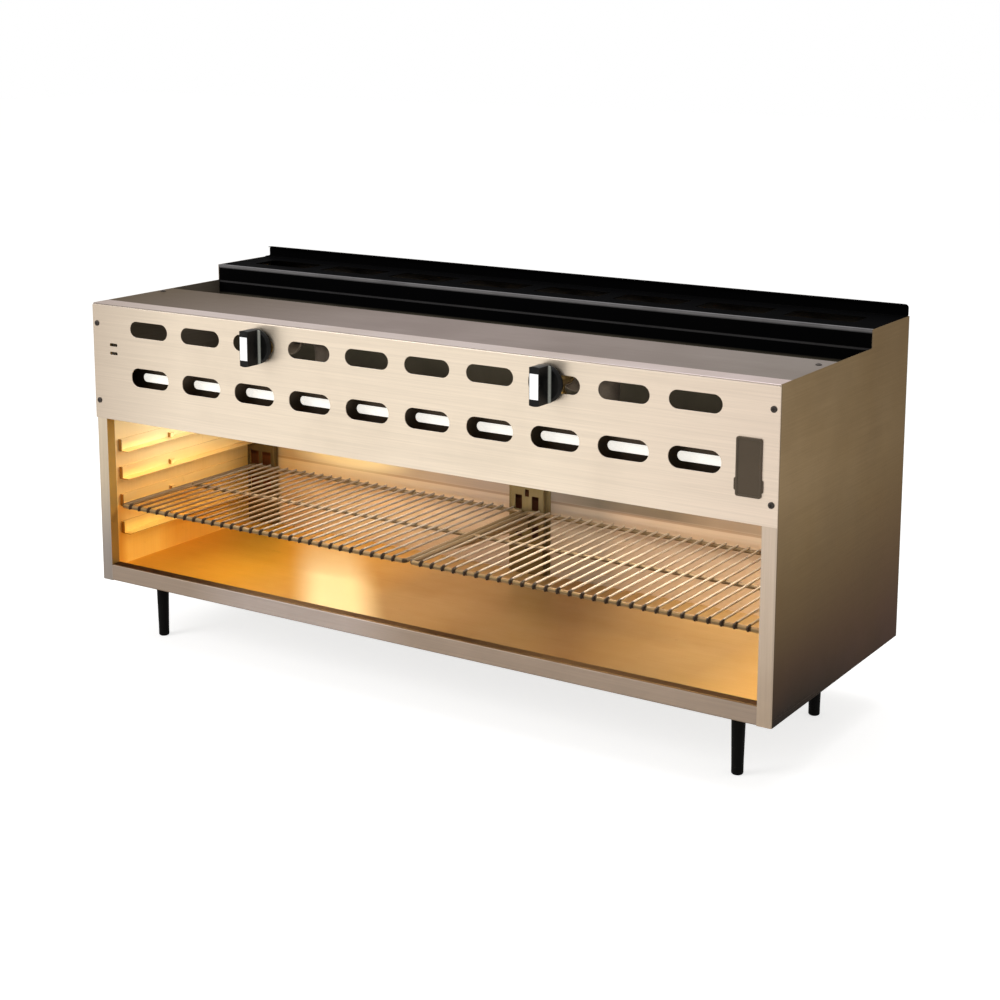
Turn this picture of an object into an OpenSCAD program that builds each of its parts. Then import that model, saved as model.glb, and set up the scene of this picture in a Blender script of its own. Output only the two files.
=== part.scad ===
// Gas cheese melter: a wide open-front cabinet with two downward-firing
// infrared burners above a pair of sliding wire racks, on four short legs.
// Millimetres. +Z up, +Y towards the back, origin at the bottom centre.
// Inside the modules, y is the depth behind the valve panel's face and
// z is the height above the underside of the cabinet (see cabinet_frame).

/* [Cabinet] */
// Width over the two side panels
body_w = 1219.2; // [1067:0.1:1524]
// Depth from the valve panel's face to the back of the cabinet
body_d = 451; // [430:1:520]
// Height of the cabinet at its front
body_h = 467; // [455:1:500]
// Height of the underside above the counter
leg_h = 102; // [80:1:160]
// Thickness of the outer panels
sheet = 1.2; // [0.9:0.1:2]
// Thickness of the inner liners
liner_t = 1; // [0.7:0.1:1.5]
// Outside radius of the bent edges
bend_r = 3; // [2.2:0.1:5]
// Space between a side panel's outer face and its liner's inner face
side_gap = 11.6; // [8:0.1:16]

/* [Front] */
// Width of the stile beside the opening
stile_w = 22; // [18:0.5:30]
// Depth of the stile's inner return
stile_return = 18; // [12:0.5:24]
// Height of the bottom rail
rail_h = 28; // [24:0.5:40]
// Height of the opening above the rail
opening_h = 248.5; // [244:0.5:250]
// Depth of the valve panel's top flange
hem_d = 36; // [20:1:60]
// Depth of the valve panel's bottom return
hem_lip = 14; // [8:1:18]
// Width of the flanges that panels are screwed to
flange_w = 25; // [22:1:40]
// Width of the rail's strip below the base panel
rail_lap = 12; // [6:0.5:20]
// Height of the top panel's down-turned rear edge
vent_lip = 30; // [12:1:40]

/* [Slots] */
// Number of slots in each row
slot_count = 10; // [8:1:10]
// Distance of the outermost slots' centres from the panel's ends
slot_margin = 121.8; // [100:0.1:160]
// Length of a slot
slot_len = 79.5; // [60:0.5:85]
// Height of the upper slots
slot_h = 26; // [20:0.5:34]
// Height of the lower slots
lower_slot_h = 31; // [24:0.5:34]
// Distance of the upper row's centre line below the panel's top
upper_row = 36; // [35:0.5:38]
// Distance of the lower row's centre line below the panel's top
lower_row = 114.5; // [113:0.5:119]
// Height of the matching slots in the baffle
baffle_slot_h = 14; // [10:0.5:24]
// Drop of the baffle's slots below the lower row's centre line
baffle_slot_drop = 5; // [0:0.5:8]
// Depth of the baffle behind the panel's face
baffle_d = 27; // [25:0.5:32]
// Space between the baffle and the manifold above it
baffle_gap = 4.15; // [2:0.05:8]
// Distance of the pilot sight slots from the left edge
sight_x = 44; // [36:1:52]
// Length of the pilot sight slots
sight_len = 17; // [12:1:20]
// Height of the pilot sight slots
sight_h = 5; // [3:0.5:7]
// Distance between the pilot sight slots
sight_pitch = 14; // [10:0.5:18]
// Drop of the pilot sight slots below the upper row
sight_drop = 37; // [34:0.5:40]

/* [Flue] */
// Depth of the top panel's rear edge
vent_d = 190; // [150:1:220]
// Depth of the flue from its front wall to the back
flue_len = 142; // [131:1:156]
// Height of the flue above the cabinet's top
flue_h = 27; // [15:0.5:45]
// Height of the riser above the flue
riser_h = 18; // [10:0.5:40]
// Depth of the riser's top lip
riser_lip = 8; // [4:0.5:12]
// Radius of the riser's upper corners
riser_corner = 6; // [2:0.5:9]
// Number of exhaust ports
port_count = 8; // [6:1:12]
// Depth of an exhaust port
port_d = 56; // [30:1:70]
// Width of the bridges between the exhaust ports
port_bridge = 30; // [16:1:40]
// Corner radius of an exhaust port
port_r = 6; // [2:0.5:12]
// Depth of the foot flanges of the flue's walls
flue_flange = 14; // [10:0.5:20]

/* [Cavity] */
// Space between the cavity's rear wall and the back of the cabinet
rear_space = 79; // [66:1:85]
// Height of the burner deck above the opening's top edge
deck_rise = 18; // [14:1:20]
// Height of the cavity floor
floor_h = 18; // [14:0.5:20]
// Thickness of the rear insulation blanket
blanket_t = 50; // [25:1:60]
// Thickness of the blanket behind the baffle
front_blanket_t = 25; // [15:1:28]
// Depth of the baffle's flanges
baffle_flange = 13; // [10:0.5:16]

/* [Rack guides] */
// Number of rack levels
guide_count = 4; // [2:1:4]
// Height of the lowest guide
guide_first = 72; // [65:1:75]
// Distance between the guides
guide_pitch = 47; // [44:0.5:48]
// Width of a guide's shelf
guide_w = 20; // [17:0.5:26]
// Height of a guide's upright
guide_rise = 20; // [12:0.5:24]
// Depth of the guides' front ends
guide_front = 36; // [24:1:50]
// Width of the lip at a guide's front end
guide_lip = 7; // [4:0.5:10]
// Distance of a guide's stop from its front end
stop_d = 118; // [80:1:160]
// Length of a guide's stop
stop_len = 8; // [5:0.5:12]
// Height of a guide's stop
stop_h = 9; // [6:0.5:12]
// Thickness of the guides and posts
guide_t = 1; // [0.8:0.1:1.5]
// Bend radius of the guides and posts
guide_r = 2; // [1.6:0.1:2.5]
// Level that holds the racks, counted from the lowest
rack_level = 1; // [0:1:1]
// Depth of the posts on the rear wall
post_d = 10; // [8:0.5:12]
// Width of the centre post
post_w = 64; // [56:1:100]
// Width of the flanges beside the centre post
post_foot = 9; // [7:0.5:18]
// Width of a corner post
corner_w = 62; // [45:1:70]
// Height of the posts' slots
post_slot_h = 24; // [16:0.5:28]
// Length of the centre support
support_len = 240; // [200:1:260]
// Width of the centre support
support_w = 24; // [20:1:30]
// Thickness of the centre support
support_t = 1.5; // [1:0.1:2.5]

/* [Racks] */
// Diameter of a rack's rim rod
rim_d = 7; // [5:0.5:9]
// Diameter of a rack's wires
wire_d = 3.6; // [2.5:0.1:5]
// Distance between the wires, rounded to fill the rack
wire_pitch = 20; // [16:0.5:40]
// Clearance of a rack in the opening
rack_gap = 1.6; // [1:0.1:4]
// Gap between the two racks
rack_split = 4; // [3:0.5:8]
// Depth of the racks' front edge
rack_front = 22; // [20:0.5:30]
// Clearance between the racks and the rear posts
rack_rear_gap = 2.5; // [1:0.5:6]
// Depth of the racks' middle bar
rack_mid = 195; // [120:1:280]
// Clearance under the racks
rack_lift = 0.3; // [0.2:0.05:0.5]
// Bend radius of a rack's corners
rack_corner = 6; // [4.5:0.5:18]
// Reach of the wires' wrapped ends below the middle of the rim
wire_tip = 2.5; // [1:0.5:3]
// Depth to which the wires sink into the rods where they are welded
weld = 0.8; // [0.4:0.1:1.2]

/* [Burners] */
// Gap between the two burners
burner_gap = 80; // [60:1:140]
// Space between a burner and its side liner
burner_side = 58; // [40:1:100]
// Depth of a burner
burner_len = 150; // [120:1:170]
// Depth of a burner's front edge
burner_front = 92; // [90:1:100]
// Height of a burner's plenum
plenum_h = 45; // [30:1:50]
// Wall of the plenum
plenum_t = 1.5; // [1:0.1:2.5]
// Width of the plenum's bottom flange
plenum_flange = 10; // [6:0.5:10]
// Number of ceramic tiles in a burner
tile_count = 4; // [2:1:6]
// Thickness of a ceramic tile
tile_t = 13; // [9:0.5:16]
// Ledge that carries the tiles
tile_ledge = 6; // [3:0.5:9]
// Gap round the tiles
tile_gap = 0.4; // [0.2:0.1:1]
// Drop of the burner screen below the deck
screen_drop = 12; // [9:0.5:16]
// Diameter of the burner screen's rods
screen_rod = 3; // [2:0.5:4]
// Distance between the burner screen's rods
screen_pitch = 25; // [15:1:60]

/* [Gas train] */
// Distance of the valves from the centre of their slot
valve_shift = 12; // [8:0.5:16]
// Outside diameter of the gas pipe
pipe_od = 26.7; // [21.3:0.1:27.5]
// Bore of the gas pipe
pipe_id = 21; // [16:0.1:21.5]
// Drop of the manifold below the valves
manifold_drop = 38; // [36:0.5:39]
// Depth of the manifold's centre
manifold_d = 32; // [30:0.5:33]
// Distance of the manifold's capped end from the left valve
manifold_end = 41; // [26:1:70]
// Distance of the supply pipe from a side panel's outer face
supply_inset = 34.6; // [33:0.1:36]
// Bend radius of the supply pipe
supply_bend = 22; // [18:0.5:26]
// Outside diameter of the inlet coupling
coupling_od = 34; // [31:0.5:36]
// Length of the inlet coupling
coupling_len = 32; // [28:1:40]
// Reach of the coupling behind the cabinet
inlet_reach = 18; // [12:1:22]
// Bore that takes the supply line's thread
inlet_bore = 23.4; // [21.8:0.1:24]
// Depth of the threaded bore
inlet_depth = 20; // [15:1:22]
// Outside diameter of the mixer tube
mixer_od = 38; // [32:1:40]
// Wall of the mixer tube
mixer_t = 1.5; // [1:0.1:2.5]
// Bend radius of the mixer tube
mixer_bend = 36; // [30:1:40]
// Diameter of the valve body
valve_od = 22; // [18:0.5:24]
// Depth of the valve body's front end
valve_front = 10; // [6:0.5:12]
// Length of the valve body
valve_len = 42; // [38:1:46]
// Length of the valve body's front collar
collar_len = 7; // [4:0.5:9]
// Reach of a valve's collar and nut beyond what carries them
collar_rim = 2; // [1:0.5:3]
// Height of the nut on the valve's inlet boss
boss_nut_h = 5; // [3:0.5:8]
// Depth of the stem's seat from the valve's front end
stem_seat = 22; // [16:0.5:30]
// Diameter of the valve's inlet boss
boss_od = 16; // [12:0.5:18]
// Outside diameter of the pilot tubes
pilot_od = 6.4; // [5:0.1:8]
// Distance of a pilot from its burner's centre
pilot_offset = 120; // [80:1:200]
// Distance of a saddle from its pilot tube
bracket_offset = 30; // [22:1:40]
// Width of the saddles
bracket_w = 16; // [12:0.5:24]
// Thickness of the saddles and of the cap
clamp_t = 3; // [2:0.1:4]
// Clearance round the coupling in the back
coupling_fit = 0.3; // [0.1:0.1:1]
// Length of the orifice hoods
orifice_len = 12; // [9:0.5:16]
// Width of the orifice hoods across their corners
orifice_od = 14; // [11:0.5:16]
// Gap between an orifice hood and its mixer's mouth
mouth_gap = 8; // [5:0.5:12]
// Reach of the mixer's mouth beyond its tube
mouth_flare = 6; // [3:0.5:9]
// Length of the mixer's straight mouth
mouth_len = 2; // [1:0.5:4]
// Length of the mixer's throat
throat_len = 8; // [4:0.5:14]
// Depth of the pilots
pilot_d = 75; // [73:0.5:77]

/* [Knobs] */
// Diameter of the knob's skirt
knob_d = 55; // [48:0.5:60]
// Thickness of the skirt
skirt_t = 6; // [4:0.5:9]
// Gap between the skirt and its bezel
skirt_gap = 2.5; // [1:0.5:4]
// Height of the grip bar
bar_h = 56; // [44:0.5:60]
// Width of the grip bar
bar_w = 16; // [13:0.5:18]
// Radius of the flare where the bar meets the skirt
bar_flare = 5; // [2:0.5:8]
// Reach of the grip bar in front of the skirt
bar_d = 25.5; // [15:0.5:32]
// Height of the bright insert on the grip bar
insert_h = 36; // [20:0.5:42]
// Width of the insert
insert_w = 14; // [8:0.5:15]
// Thickness of the insert
insert_t = 1.2; // [0.8:0.1:2]
// Height of the insert's face above the bar
insert_proud = 0.4; // [0.2:0.1:0.6]
// Diameter of the bezel on the panel
bezel_d = 50; // [42:0.5:56]
// Thickness of the bezel
bezel_t = 2; // [1:0.5:3]
// Radial clearance of the stem in the bezel
bezel_fit = 2; // [1:0.5:4]
// Diameter of the valve stem
stem_d = 8; // [6:0.5:9]
// Radial clearance of the stem in the valve
stem_fit = 0.05; // [0.02:0.01:0.09]

/* [Legs] */
// Distance of the legs from the sides
leg_inset = 76.6; // [60:0.1:120]
// Depth of the front legs
leg_front = 62; // [50:1:90]
// Distance of the rear legs from the back
leg_back = 126; // [100:1:170]
// Diameter of a leg at its top
leg_d = 21; // [18:0.2:30]
// Diameter of a leg at its bottom
leg_tip_d = 17.2; // [15:0.2:28]
// Diameter of the flange on a leg
leg_flange_d = 38; // [30:1:50]
// Height of a foot's pad
foot_h = 12; // [8:0.5:18]
// Diameter of a foot's stud
foot_stud_d = 10; // [8:0.5:11]
// Radial clearance of the stud in its leg
foot_fit = 0.05; // [0.02:0.01:0.09]
// Length of a foot's stud
foot_stud_len = 36; // [30:1:45]
// Diameter of the bolt on top of a leg
leg_bolt_d = 8; // [6:0.5:10]
// Length of the bolt on top of a leg
leg_bolt_len = 9; // [7:0.5:12]
// Thickness of a leg's flange
leg_flange_t = 3; // [2:0.5:5]
// Size of the tapped plate above a leg
leg_plate_w = 44; // [34:1:60]
// Thickness of that plate
leg_plate_t = 4; // [3:0.5:6]

/* [Badge and screws] */
// Width of the badge plate
badge_w = 37; // [24:0.5:40]
// Height of the badge plate
badge_h = 80; // [50:0.5:90]
// Distance of the badge plate's centre from the right edge
badge_inset = 42; // [40:0.5:46]
// Thickness of the badge plate
badge_t = 1.5; // [1:0.1:2.5]
// Width of the badge plate's raised border
badge_border = 2.5; // [1.5:0.1:4]
// Height of the wider band near the badge plate's foot
badge_band = 17; // [10:0.5:24]
// Diameter of the badge plate's pins
badge_pin_d = 3; // [2:0.5:4]
// Distance of the pins from the badge plate's ends
badge_pin_inset = 6; // [4:0.5:9]
// Distance of the panel screws from the edge
screw_inset = 9; // [7:0.5:12]
// Distance of the upper panel screws below the panel's top
screw_upper = 33; // [27:1:42]
// Distance of the lower panel screws above the opening
screw_lower = 29.5; // [24:0.5:43]
// Distance of the top panel's screws from the edge
top_screw_inset = 14; // [10:0.5:18]
// Depth of the top panel's screws
top_screw_d = 152; // [80:1:158]
// Diameter of the screws' shanks
screw_d = 4; // [3:0.5:5]
// Diameter of the screws' heads
head_d = 9; // [7:0.5:10]
// Rise of the screws' domed heads
head_rise = 2.4; // [1.5:0.1:3]
// Width of the cross recess in the heads
recess_w = 1.2; // [0.8:0.1:1.6]
// Length of the cross recess
recess_len = 5; // [3:0.5:6]
// Depth of the cross recess
recess_deep = 1.4; // [0.8:0.1:1.8]
// Distance of the back's outer screws from the ends
rear_screw_margin = 40; // [25:1:60]

/* [Hidden] */
$fn = 48;
rod_fn = 20;

steel = "#d9cdbd";
dark_steel = "#8d857a";
golden = "#d9a95a";
enamel = "#1c1c1e";
chrome = "#d8d8d8";
blanket = "#f2f0ea";
ceramic = "#f0b070";
brass = "#b8964a";
iron = "#4a4a4c";
phenolic = "#161616";

cut = 1;
hook_w = 8;
hook_h = 12;
hook_drop = 17;
hook_gap = 1;
boss_sunk = 2;
nut_gap = 1;
knob_reach = bezel_t + skirt_gap + skirt_t + bar_d + insert_proud;
front_y = -(body_d + inlet_reach - knob_reach) / 2;
half_w = body_w / 2;
inner_w = half_w - sheet;
open_w = half_w - stile_w;
open_top = rail_h + opening_h;
upper_z = body_h - upper_row;
lower_z = body_h - lower_row;
liner_x = half_w - side_gap;
slot_pitch = (body_w - 2 * slot_margin) / (slot_count - 1);
knob_slot = 2;
flue_d = body_d - flue_len;
cavity_d = body_d - rear_space;
deck_h = open_top + deck_rise;
deck_top = deck_h + liner_t;
base_top = 2 * sheet;
floor_d = stile_return + liner_t;
flue_top_h = body_h + flue_h;
shelf_end = body_d - 2 * sheet;
post_face = cavity_d - post_d;
screw_r = screw_d / 2;
screw_hole_r = screw_r + 0.1;

burner_w = liner_x - burner_gap / 2 - burner_side;
burner_x = (burner_gap + burner_w) / 2;
valve_x = -slot_x(knob_slot) - valve_shift;
pipe_r = pipe_od / 2;
manifold_h = upper_z - manifold_drop;
manifold_x = -valve_x - manifold_end;
nut_h = manifold_h + pipe_r + nut_gap;
baffle_top = manifold_h - pipe_r - baffle_gap;
baffle_h = baffle_top - deck_top;
supply_x = half_w - supply_inset;
valve_end = valve_front + valve_len;
mixer_mouth = valve_end + orifice_len + mouth_gap;
mixer_r = mixer_od / 2;
mixer_y = burner_front + burner_len / 2;
mixer_turn = mixer_y - mixer_bend;
plenum_top = deck_top + plenum_h;
skirt_back = -(bezel_t + skirt_gap);
skirt_face = skirt_back - skirt_t;
bar_face = skirt_face - bar_d;
stem_end = valve_front + stem_seat;
stem_r = stem_d / 2;
stem_flat = stem_r * 0.7;
stem_tip = skirt_face - bar_d * 0.35;

rack_z = guide_first + rack_level * guide_pitch + guide_t;
rim_r = rim_d / 2;
wire_r = wire_d / 2;
rim_z = rack_z + rack_lift + rim_r;
wire_z = rim_z + rim_r + wire_r - weld;
rack_x0 = rack_split / 2 + rim_r;
rack_x1 = open_w - rack_gap - rim_r;
rack_y0 = rack_front + rim_r;
rack_y1 = post_face - rack_rear_gap - rim_r;
wire_gaps = round((rack_x1 - rack_x0) / wire_pitch);
wire_step = (rack_x1 - rack_x0) / wire_gaps;

leg_x = half_w - leg_inset;
leg_rear = body_d - leg_back;
leg_depths = [leg_front, leg_rear];
foot_gap = 0.3;
leg_bolt_r = leg_bolt_d / 2;

// Places what is measured from the front face and the underside.
module cabinet_frame() {
    translate([0, front_y, leg_h])
        children();
}

// A box between two opposite corners.
module block(low, high) {
    translate(low)
        cube(high - low);
}

// A flat profile in depth and height, extruded along X from x0 to x1.
module along_x(x0, x1) {
    translate([x0, 0, 0])
        rotate([90, 0, 90])
            linear_extrude(x1 - x0)
                children();
}

// A flat profile in width and height, extruded in depth from y0 to y1.
module along_y(y0, y1) {
    translate([0, y1, 0])
        rotate([90, 0, 0])
            linear_extrude(y1 - y0)
                children();
}

// A bent sheet: legs a along x and b along y, its outer corner at 0,0.
module bent_sheet(a, b, t, r = bend_r) {
    translate([r, 0])
        square([a - r, t]);
    translate([0, r])
        square([t, b - r]);
    translate([r, r])
        intersection() {
            difference() {
                circle(r);
                circle(r - t);
            }
            translate([-r, -r])
                square(r);
        }
}

// An upright round bar or hole along X.
module round_x(x0, x1, y, z, r) {
    translate([x0, y, z])
        rotate([0, 90, 0])
            cylinder(h = x1 - x0, r = r);
}

// A round bar or hole along Y.
module round_y(x, y0, y1, z, r) {
    translate([x, y0, z])
        rotate([-90, 0, 0])
            cylinder(h = y1 - y0, r = r);
}

// A round bar or hole along Z.
module round_z(x, y, z0, z1, r) {
    translate([x, y, z0])
        cylinder(h = z1 - z0, r = r);
}

// A slot with round ends, centred, along x.
module slot_2d(len, h) {
    square([len - h, h], center = true);
    for (end = [-1, 1])
        translate([end * (len - h) / 2, 0])
            circle(h / 2);
}

// A rectangle with round corners, centred.
module rounded_2d(w, h, r) {
    square([w - 2 * r, h], center = true);
    square([w, h - 2 * r], center = true);
    for (x = [-1, 1], y = [-1, 1])
        translate([x * (w / 2 - r), y * (h / 2 - r)])
            circle(r);
}

// Where the valve panel's screws go, on one side.
module panel_screw_places() {
    for (z = [open_top + screw_lower, body_h - screw_upper])
        translate([half_w - screw_inset, 0, z])
            children();
}

// Where the rear panel's screws go, on one side.
module rear_screw_places() {
    pitch = deck_h / 2 - rear_screw_margin;
    for (i = [0 : 2])
        translate([half_w - flange_w / 2, body_d, rear_screw_margin + i * pitch])
            children();
}

// ---- Cabinet shell ----

// The right side: a panel stepped up beside the flue, with the stile and
// its inner return at the front, and flanges for the other panels.
module side_panel() {
    color(steel)
        cabinet_frame()
            difference() {
                union() {
                    along_x(inner_w, half_w)
                        polygon([
                            [sheet + bend_r, 0],
                            [body_d - sheet, 0],
                            [body_d - sheet, flue_top_h],
                            [flue_d, flue_top_h],
                            [flue_d, body_h],
                            [sheet + bend_r, body_h]
                        ]);
                    linear_extrude(body_h - bend_r)
                        side_front_2d();
                    linear_extrude_between(body_h - bend_r, body_h)
                        side_corner_2d();
                    block([half_w - flange_w, stile_return, 0],
                        [half_w - sheet / 2, body_d - sheet, sheet]);
                    block([half_w - flange_w, shelf_end, 0],
                        [half_w - sheet / 2, body_d - sheet, deck_h - liner_t]);
                    block([half_w - flange_w, hem_d / 2, body_h - 2 * sheet],
                        [half_w - sheet / 2, vent_d - 2 * sheet, body_h - sheet]);
                }
                panel_screw_places()
                    round_y(0, 0, 3 * sheet, 0, screw_hole_r);
                rear_screw_places()
                    round_y(0, -3 * sheet, sheet, 0, screw_hole_r);
                round_z(half_w - top_screw_inset, top_screw_d,
                    body_h - 3 * sheet, body_h + cut, screw_hole_r);
            }
}

// Plan of the stile: side sheet, rounded corner, face and inner return.
module side_front_2d() {
    translate([half_w, sheet])
        mirror([1, 0])
            bent_sheet(stile_w, stile_return, sheet);
    translate([open_w, sheet])
        square([sheet, stile_return - sheet]);
}

// Plan of the rounded corner alone, where the hem lies on the stile.
module side_corner_2d() {
    intersection() {
        side_front_2d();
        translate([inner_w, 0])
            square([sheet, stile_return]);
    }
}

module left_side_panel() {
    mirror([1, 0, 0])
        side_panel();
}

module right_side_panel() {
    side_panel();
}

// The slotted front panel, bent back over the top and under the burners.
module valve_panel() {
    color(steel)
        cabinet_frame()
            difference() {
                union() {
                    along_y(0, sheet)
                        translate([-half_w, open_top])
                            square([body_w, opening_top_face()]);
                    along_x(-inner_w, inner_w)
                        valve_panel_top_2d();
                    block([-open_w, 0, open_top],
                        [open_w, hem_lip, open_top + sheet]);
                }
                along_y(-cut, sheet + cut) {
                    slot_row(upper_z, slot_len, slot_h);
                    slot_row(lower_z, slot_len, lower_slot_h);
                    for (z = [-sight_pitch / 2, sight_pitch / 2])
                        translate([-half_w + sight_x, upper_z - sight_drop + z])
                            slot_2d(sight_len, sight_h);
                }
                for (side = [-1, 1])
                    mirror([side < 0 ? 1 : 0, 0, 0])
                        panel_screw_places()
                            round_y(0, -cut, sheet + cut, 0, screw_hole_r);
                for (z = [-badge_pin_z(), badge_pin_z()])
                    round_y(half_w - badge_inset, -cut, sheet + cut,
                        badge_z() + z, badge_pin_d / 2);
            }
}

// Height of the flat face of the valve panel, below its rounded top edge.
function opening_top_face() = body_h - bend_r - open_top;

// Height of the badge's centre.
function badge_z() = lower_z;

// Distance of the badge's pins from its centre.
function badge_pin_z() = badge_h / 2 - badge_pin_inset;

// Distance of a slot's centre from the middle of the panel.
function slot_x(i) = (i - (slot_count - 1) / 2) * slot_pitch;

// Section of the panel's rounded top edge and its flange.
module valve_panel_top_2d() {
    translate([0, body_h])
        mirror([0, 1])
            bent_sheet(hem_d, bend_r + cut, sheet);
}

// One row of slots, centred on the panel.
module slot_row(z, len, h) {
    for (i = [0 : slot_count - 1])
        translate([slot_x(i), z])
            slot_2d(len, h);
}

// The flat top behind the front flange, turned down at the vent gap.
module top_panel() {
    color(dark_steel)
        cabinet_frame()
            difference() {
                along_x(-inner_w, inner_w)
                    translate([vent_d, body_h])
                        rotate(180)
                            bent_sheet(vent_d - hem_d, vent_lip, sheet);
                for (side = [-1, 1])
                    round_z(side * (half_w - top_screw_inset), top_screw_d,
                        body_h - 2 * sheet, body_h + cut, screw_hole_r);
            }
}

// The rail below the opening, a channel between the stiles, with a strip
// that carries the front edge of the base panel.
module bottom_rail() {
    strip_w = half_w - flange_w;
    color(steel)
        cabinet_frame() {
            along_x(-open_w, open_w)
                translate([sheet, 0]) {
                    bent_sheet(stile_return - sheet, rail_h / 2 + cut, sheet);
                    translate([0, rail_h])
                        mirror([0, 1])
                            bent_sheet(stile_return, rail_h / 2 + cut, sheet);
                }
            block([-strip_w, stile_return - sheet / 2, 0],
                [strip_w, stile_return + rail_lap, sheet]);
        }
}

// The bottom of the cabinet, with the holes for the legs' bolts.
module base_panel() {
    color(dark_steel)
        cabinet_frame()
            difference() {
                block([-inner_w, stile_return + sheet, sheet],
                    [inner_w, shelf_end, base_top]);
                for (x = [-leg_x, leg_x], y = leg_depths)
                    round_z(x, y, 0, base_top + cut, leg_bolt_r);
            }
}

// The back, with the hole that the gas coupling comes through.
module rear_panel() {
    color(dark_steel)
        cabinet_frame()
            difference() {
                block([-half_w, body_d - sheet, 0],
                    [half_w, body_d, flue_top_h]);
                round_y(supply_x, body_d - sheet - cut, body_d + cut,
                    manifold_h, coupling_od / 2 + coupling_fit);
                for (side = [-1, 1])
                    mirror([side < 0 ? 1 : 0, 0, 0])
                        rear_screw_places()
                            round_y(0, -sheet - cut, cut, 0, screw_hole_r);
            }
}

// ---- Flue ----

// The flue's front wall, standing on the deck behind the vent gap.
module flue_front() {
    color(enamel)
        cabinet_frame()
            difference() {
                along_x(-inner_w, inner_w)
                    translate([flue_d, deck_top])
                        bent_sheet(flue_flange, flue_top_h - sheet - deck_top, sheet);
                round_y(supply_x, flue_d - cut, flue_d + sheet + cut,
                    manifold_h, pipe_r);
            }
}

// The flue's top plate, with a row of exhaust ports.
module flue_top() {
    port_w = (2 * inner_w - 2 * port_bridge) / port_count - port_bridge;
    port_y = (flue_d + body_d) / 2;
    color(enamel)
        cabinet_frame()
            difference() {
                block([-inner_w, flue_d, flue_top_h - sheet],
                    [inner_w, body_d - sheet, flue_top_h]);
                for (i = [0 : port_count - 1])
                    translate([
                        (i - (port_count - 1) / 2) * (port_w + port_bridge),
                        port_y,
                        flue_top_h - sheet - cut
                    ])
                        linear_extrude(sheet + 2 * cut)
                            rounded_2d(port_w, port_d, port_r);
            }
}

// The low riser along the back, with its lip turned forward.
module flue_riser() {
    color(enamel)
        cabinet_frame()
            intersection() {
                along_x(-inner_w, inner_w)
                    translate([body_d - sheet, flue_top_h])
                        mirror([1, 0]) {
                            bent_sheet(flue_flange, riser_h / 2 + cut, sheet);
                            translate([0, riser_h])
                                mirror([0, 1])
                                    bent_sheet(riser_lip + sheet, riser_h / 2 + cut,
                                        sheet);
                        }
                along_y(flue_d, body_d + cut)
                    translate([0, flue_top_h])
                        rounded_2d(2 * inner_w, 2 * riser_h, riser_corner);
            }
}

// ---- Cavity ----

// The baffle behind the panel, with slots that match its lower row.
module burner_baffle() {
    color(golden)
        cabinet_frame()
            difference() {
                along_x(-liner_x, liner_x)
                    translate([baffle_d, deck_top]) {
                        bent_sheet(baffle_flange, baffle_h / 2 + cut, liner_t);
                        translate([0, baffle_h])
                            mirror([0, 1])
                                bent_sheet(baffle_flange, baffle_h / 2 + cut, liner_t);
                    }
                along_y(baffle_d - cut, baffle_d + liner_t + cut)
                    slot_row(lower_z - baffle_slot_drop, slot_len,
                        baffle_slot_h);
            }
}

// The cavity's ceiling, with an opening below each burner's tiles.
module burner_deck() {
    open_x = burner_w / 2 - plenum_t - tile_ledge;
    open_y = plenum_t + tile_ledge;
    color(golden)
        cabinet_frame()
            difference() {
                union() {
                    block([-inner_w, baffle_d, deck_h],
                        [inner_w, flue_d + flue_flange, deck_top]);
                    block([-open_w, baffle_d, open_top],
                        [open_w, baffle_d + liner_t, deck_top]);
                }
                for (x = [-burner_x, burner_x])
                    block([x - open_x, burner_front + open_y, deck_h - cut],
                        [x + open_x, burner_front + burner_len - open_y,
                            deck_top + cut]);
                for (x = [-pilot_x(), pilot_x()])
                    round_z(x, pilot_d, deck_h - cut, deck_top + cut,
                        pilot_od / 2);
            }
}

// The right wall of the cavity, joined to the stile's return.
module side_liner() {
    color(golden)
        cabinet_frame() {
            block([liner_x, stile_return + liner_t, base_top],
                [liner_x + liner_t, cavity_d, deck_h]);
            block([open_w, stile_return, base_top],
                [liner_x + liner_t, stile_return + liner_t, deck_h]);
        }
}

module left_liner() {
    mirror([1, 0, 0])
        side_liner();
}

module right_liner() {
    side_liner();
}

// The rear wall of the cavity and the shelf that closes it below the flue.
module rear_liner() {
    color(golden)
        cabinet_frame()
            along_x(-liner_x - liner_t, liner_x + liner_t)
                translate([cavity_d, deck_h]) {
                    mirror([0, 1])
                        bent_sheet(shelf_end - cavity_d, deck_h - base_top,
                            liner_t);
                }
}

// The floor sheet between the liners.
module cavity_floor() {
    color(golden)
        cabinet_frame()
            along_x(-liner_x, liner_x)
                translate([floor_d, floor_h])
                    mirror([0, 1])
                        bent_sheet(cavity_d - floor_d, floor_h - base_top, liner_t);
}

// The angles on the right wall: a shelf, an upright, a front lip and a
// small stop half way in, at each level.
module rack_guides() {
    guide_end = post_face - 1;
    color(golden)
        cabinet_frame()
            for (i = [0 : guide_count - 1])
                translate([0, 0, guide_first + i * guide_pitch]) {
                    along_y(guide_front, guide_end)
                        translate([liner_x, 0])
                            mirror([1, 0])
                                bent_sheet(guide_w, guide_rise, guide_t, guide_r);
                    block([liner_x - guide_lip, guide_front, guide_t],
                        [liner_x - guide_t / 2, guide_front + guide_t, guide_rise]);
                    block([liner_x - guide_lip, guide_front + stop_d, guide_t / 2],
                        [liner_x - guide_t / 2, guide_front + stop_d + stop_len,
                            stop_h]);
                }
}

module rack_guides_left() {
    mirror([1, 0, 0])
        rack_guides();
}

module rack_guides_right() {
    rack_guides();
}

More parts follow.
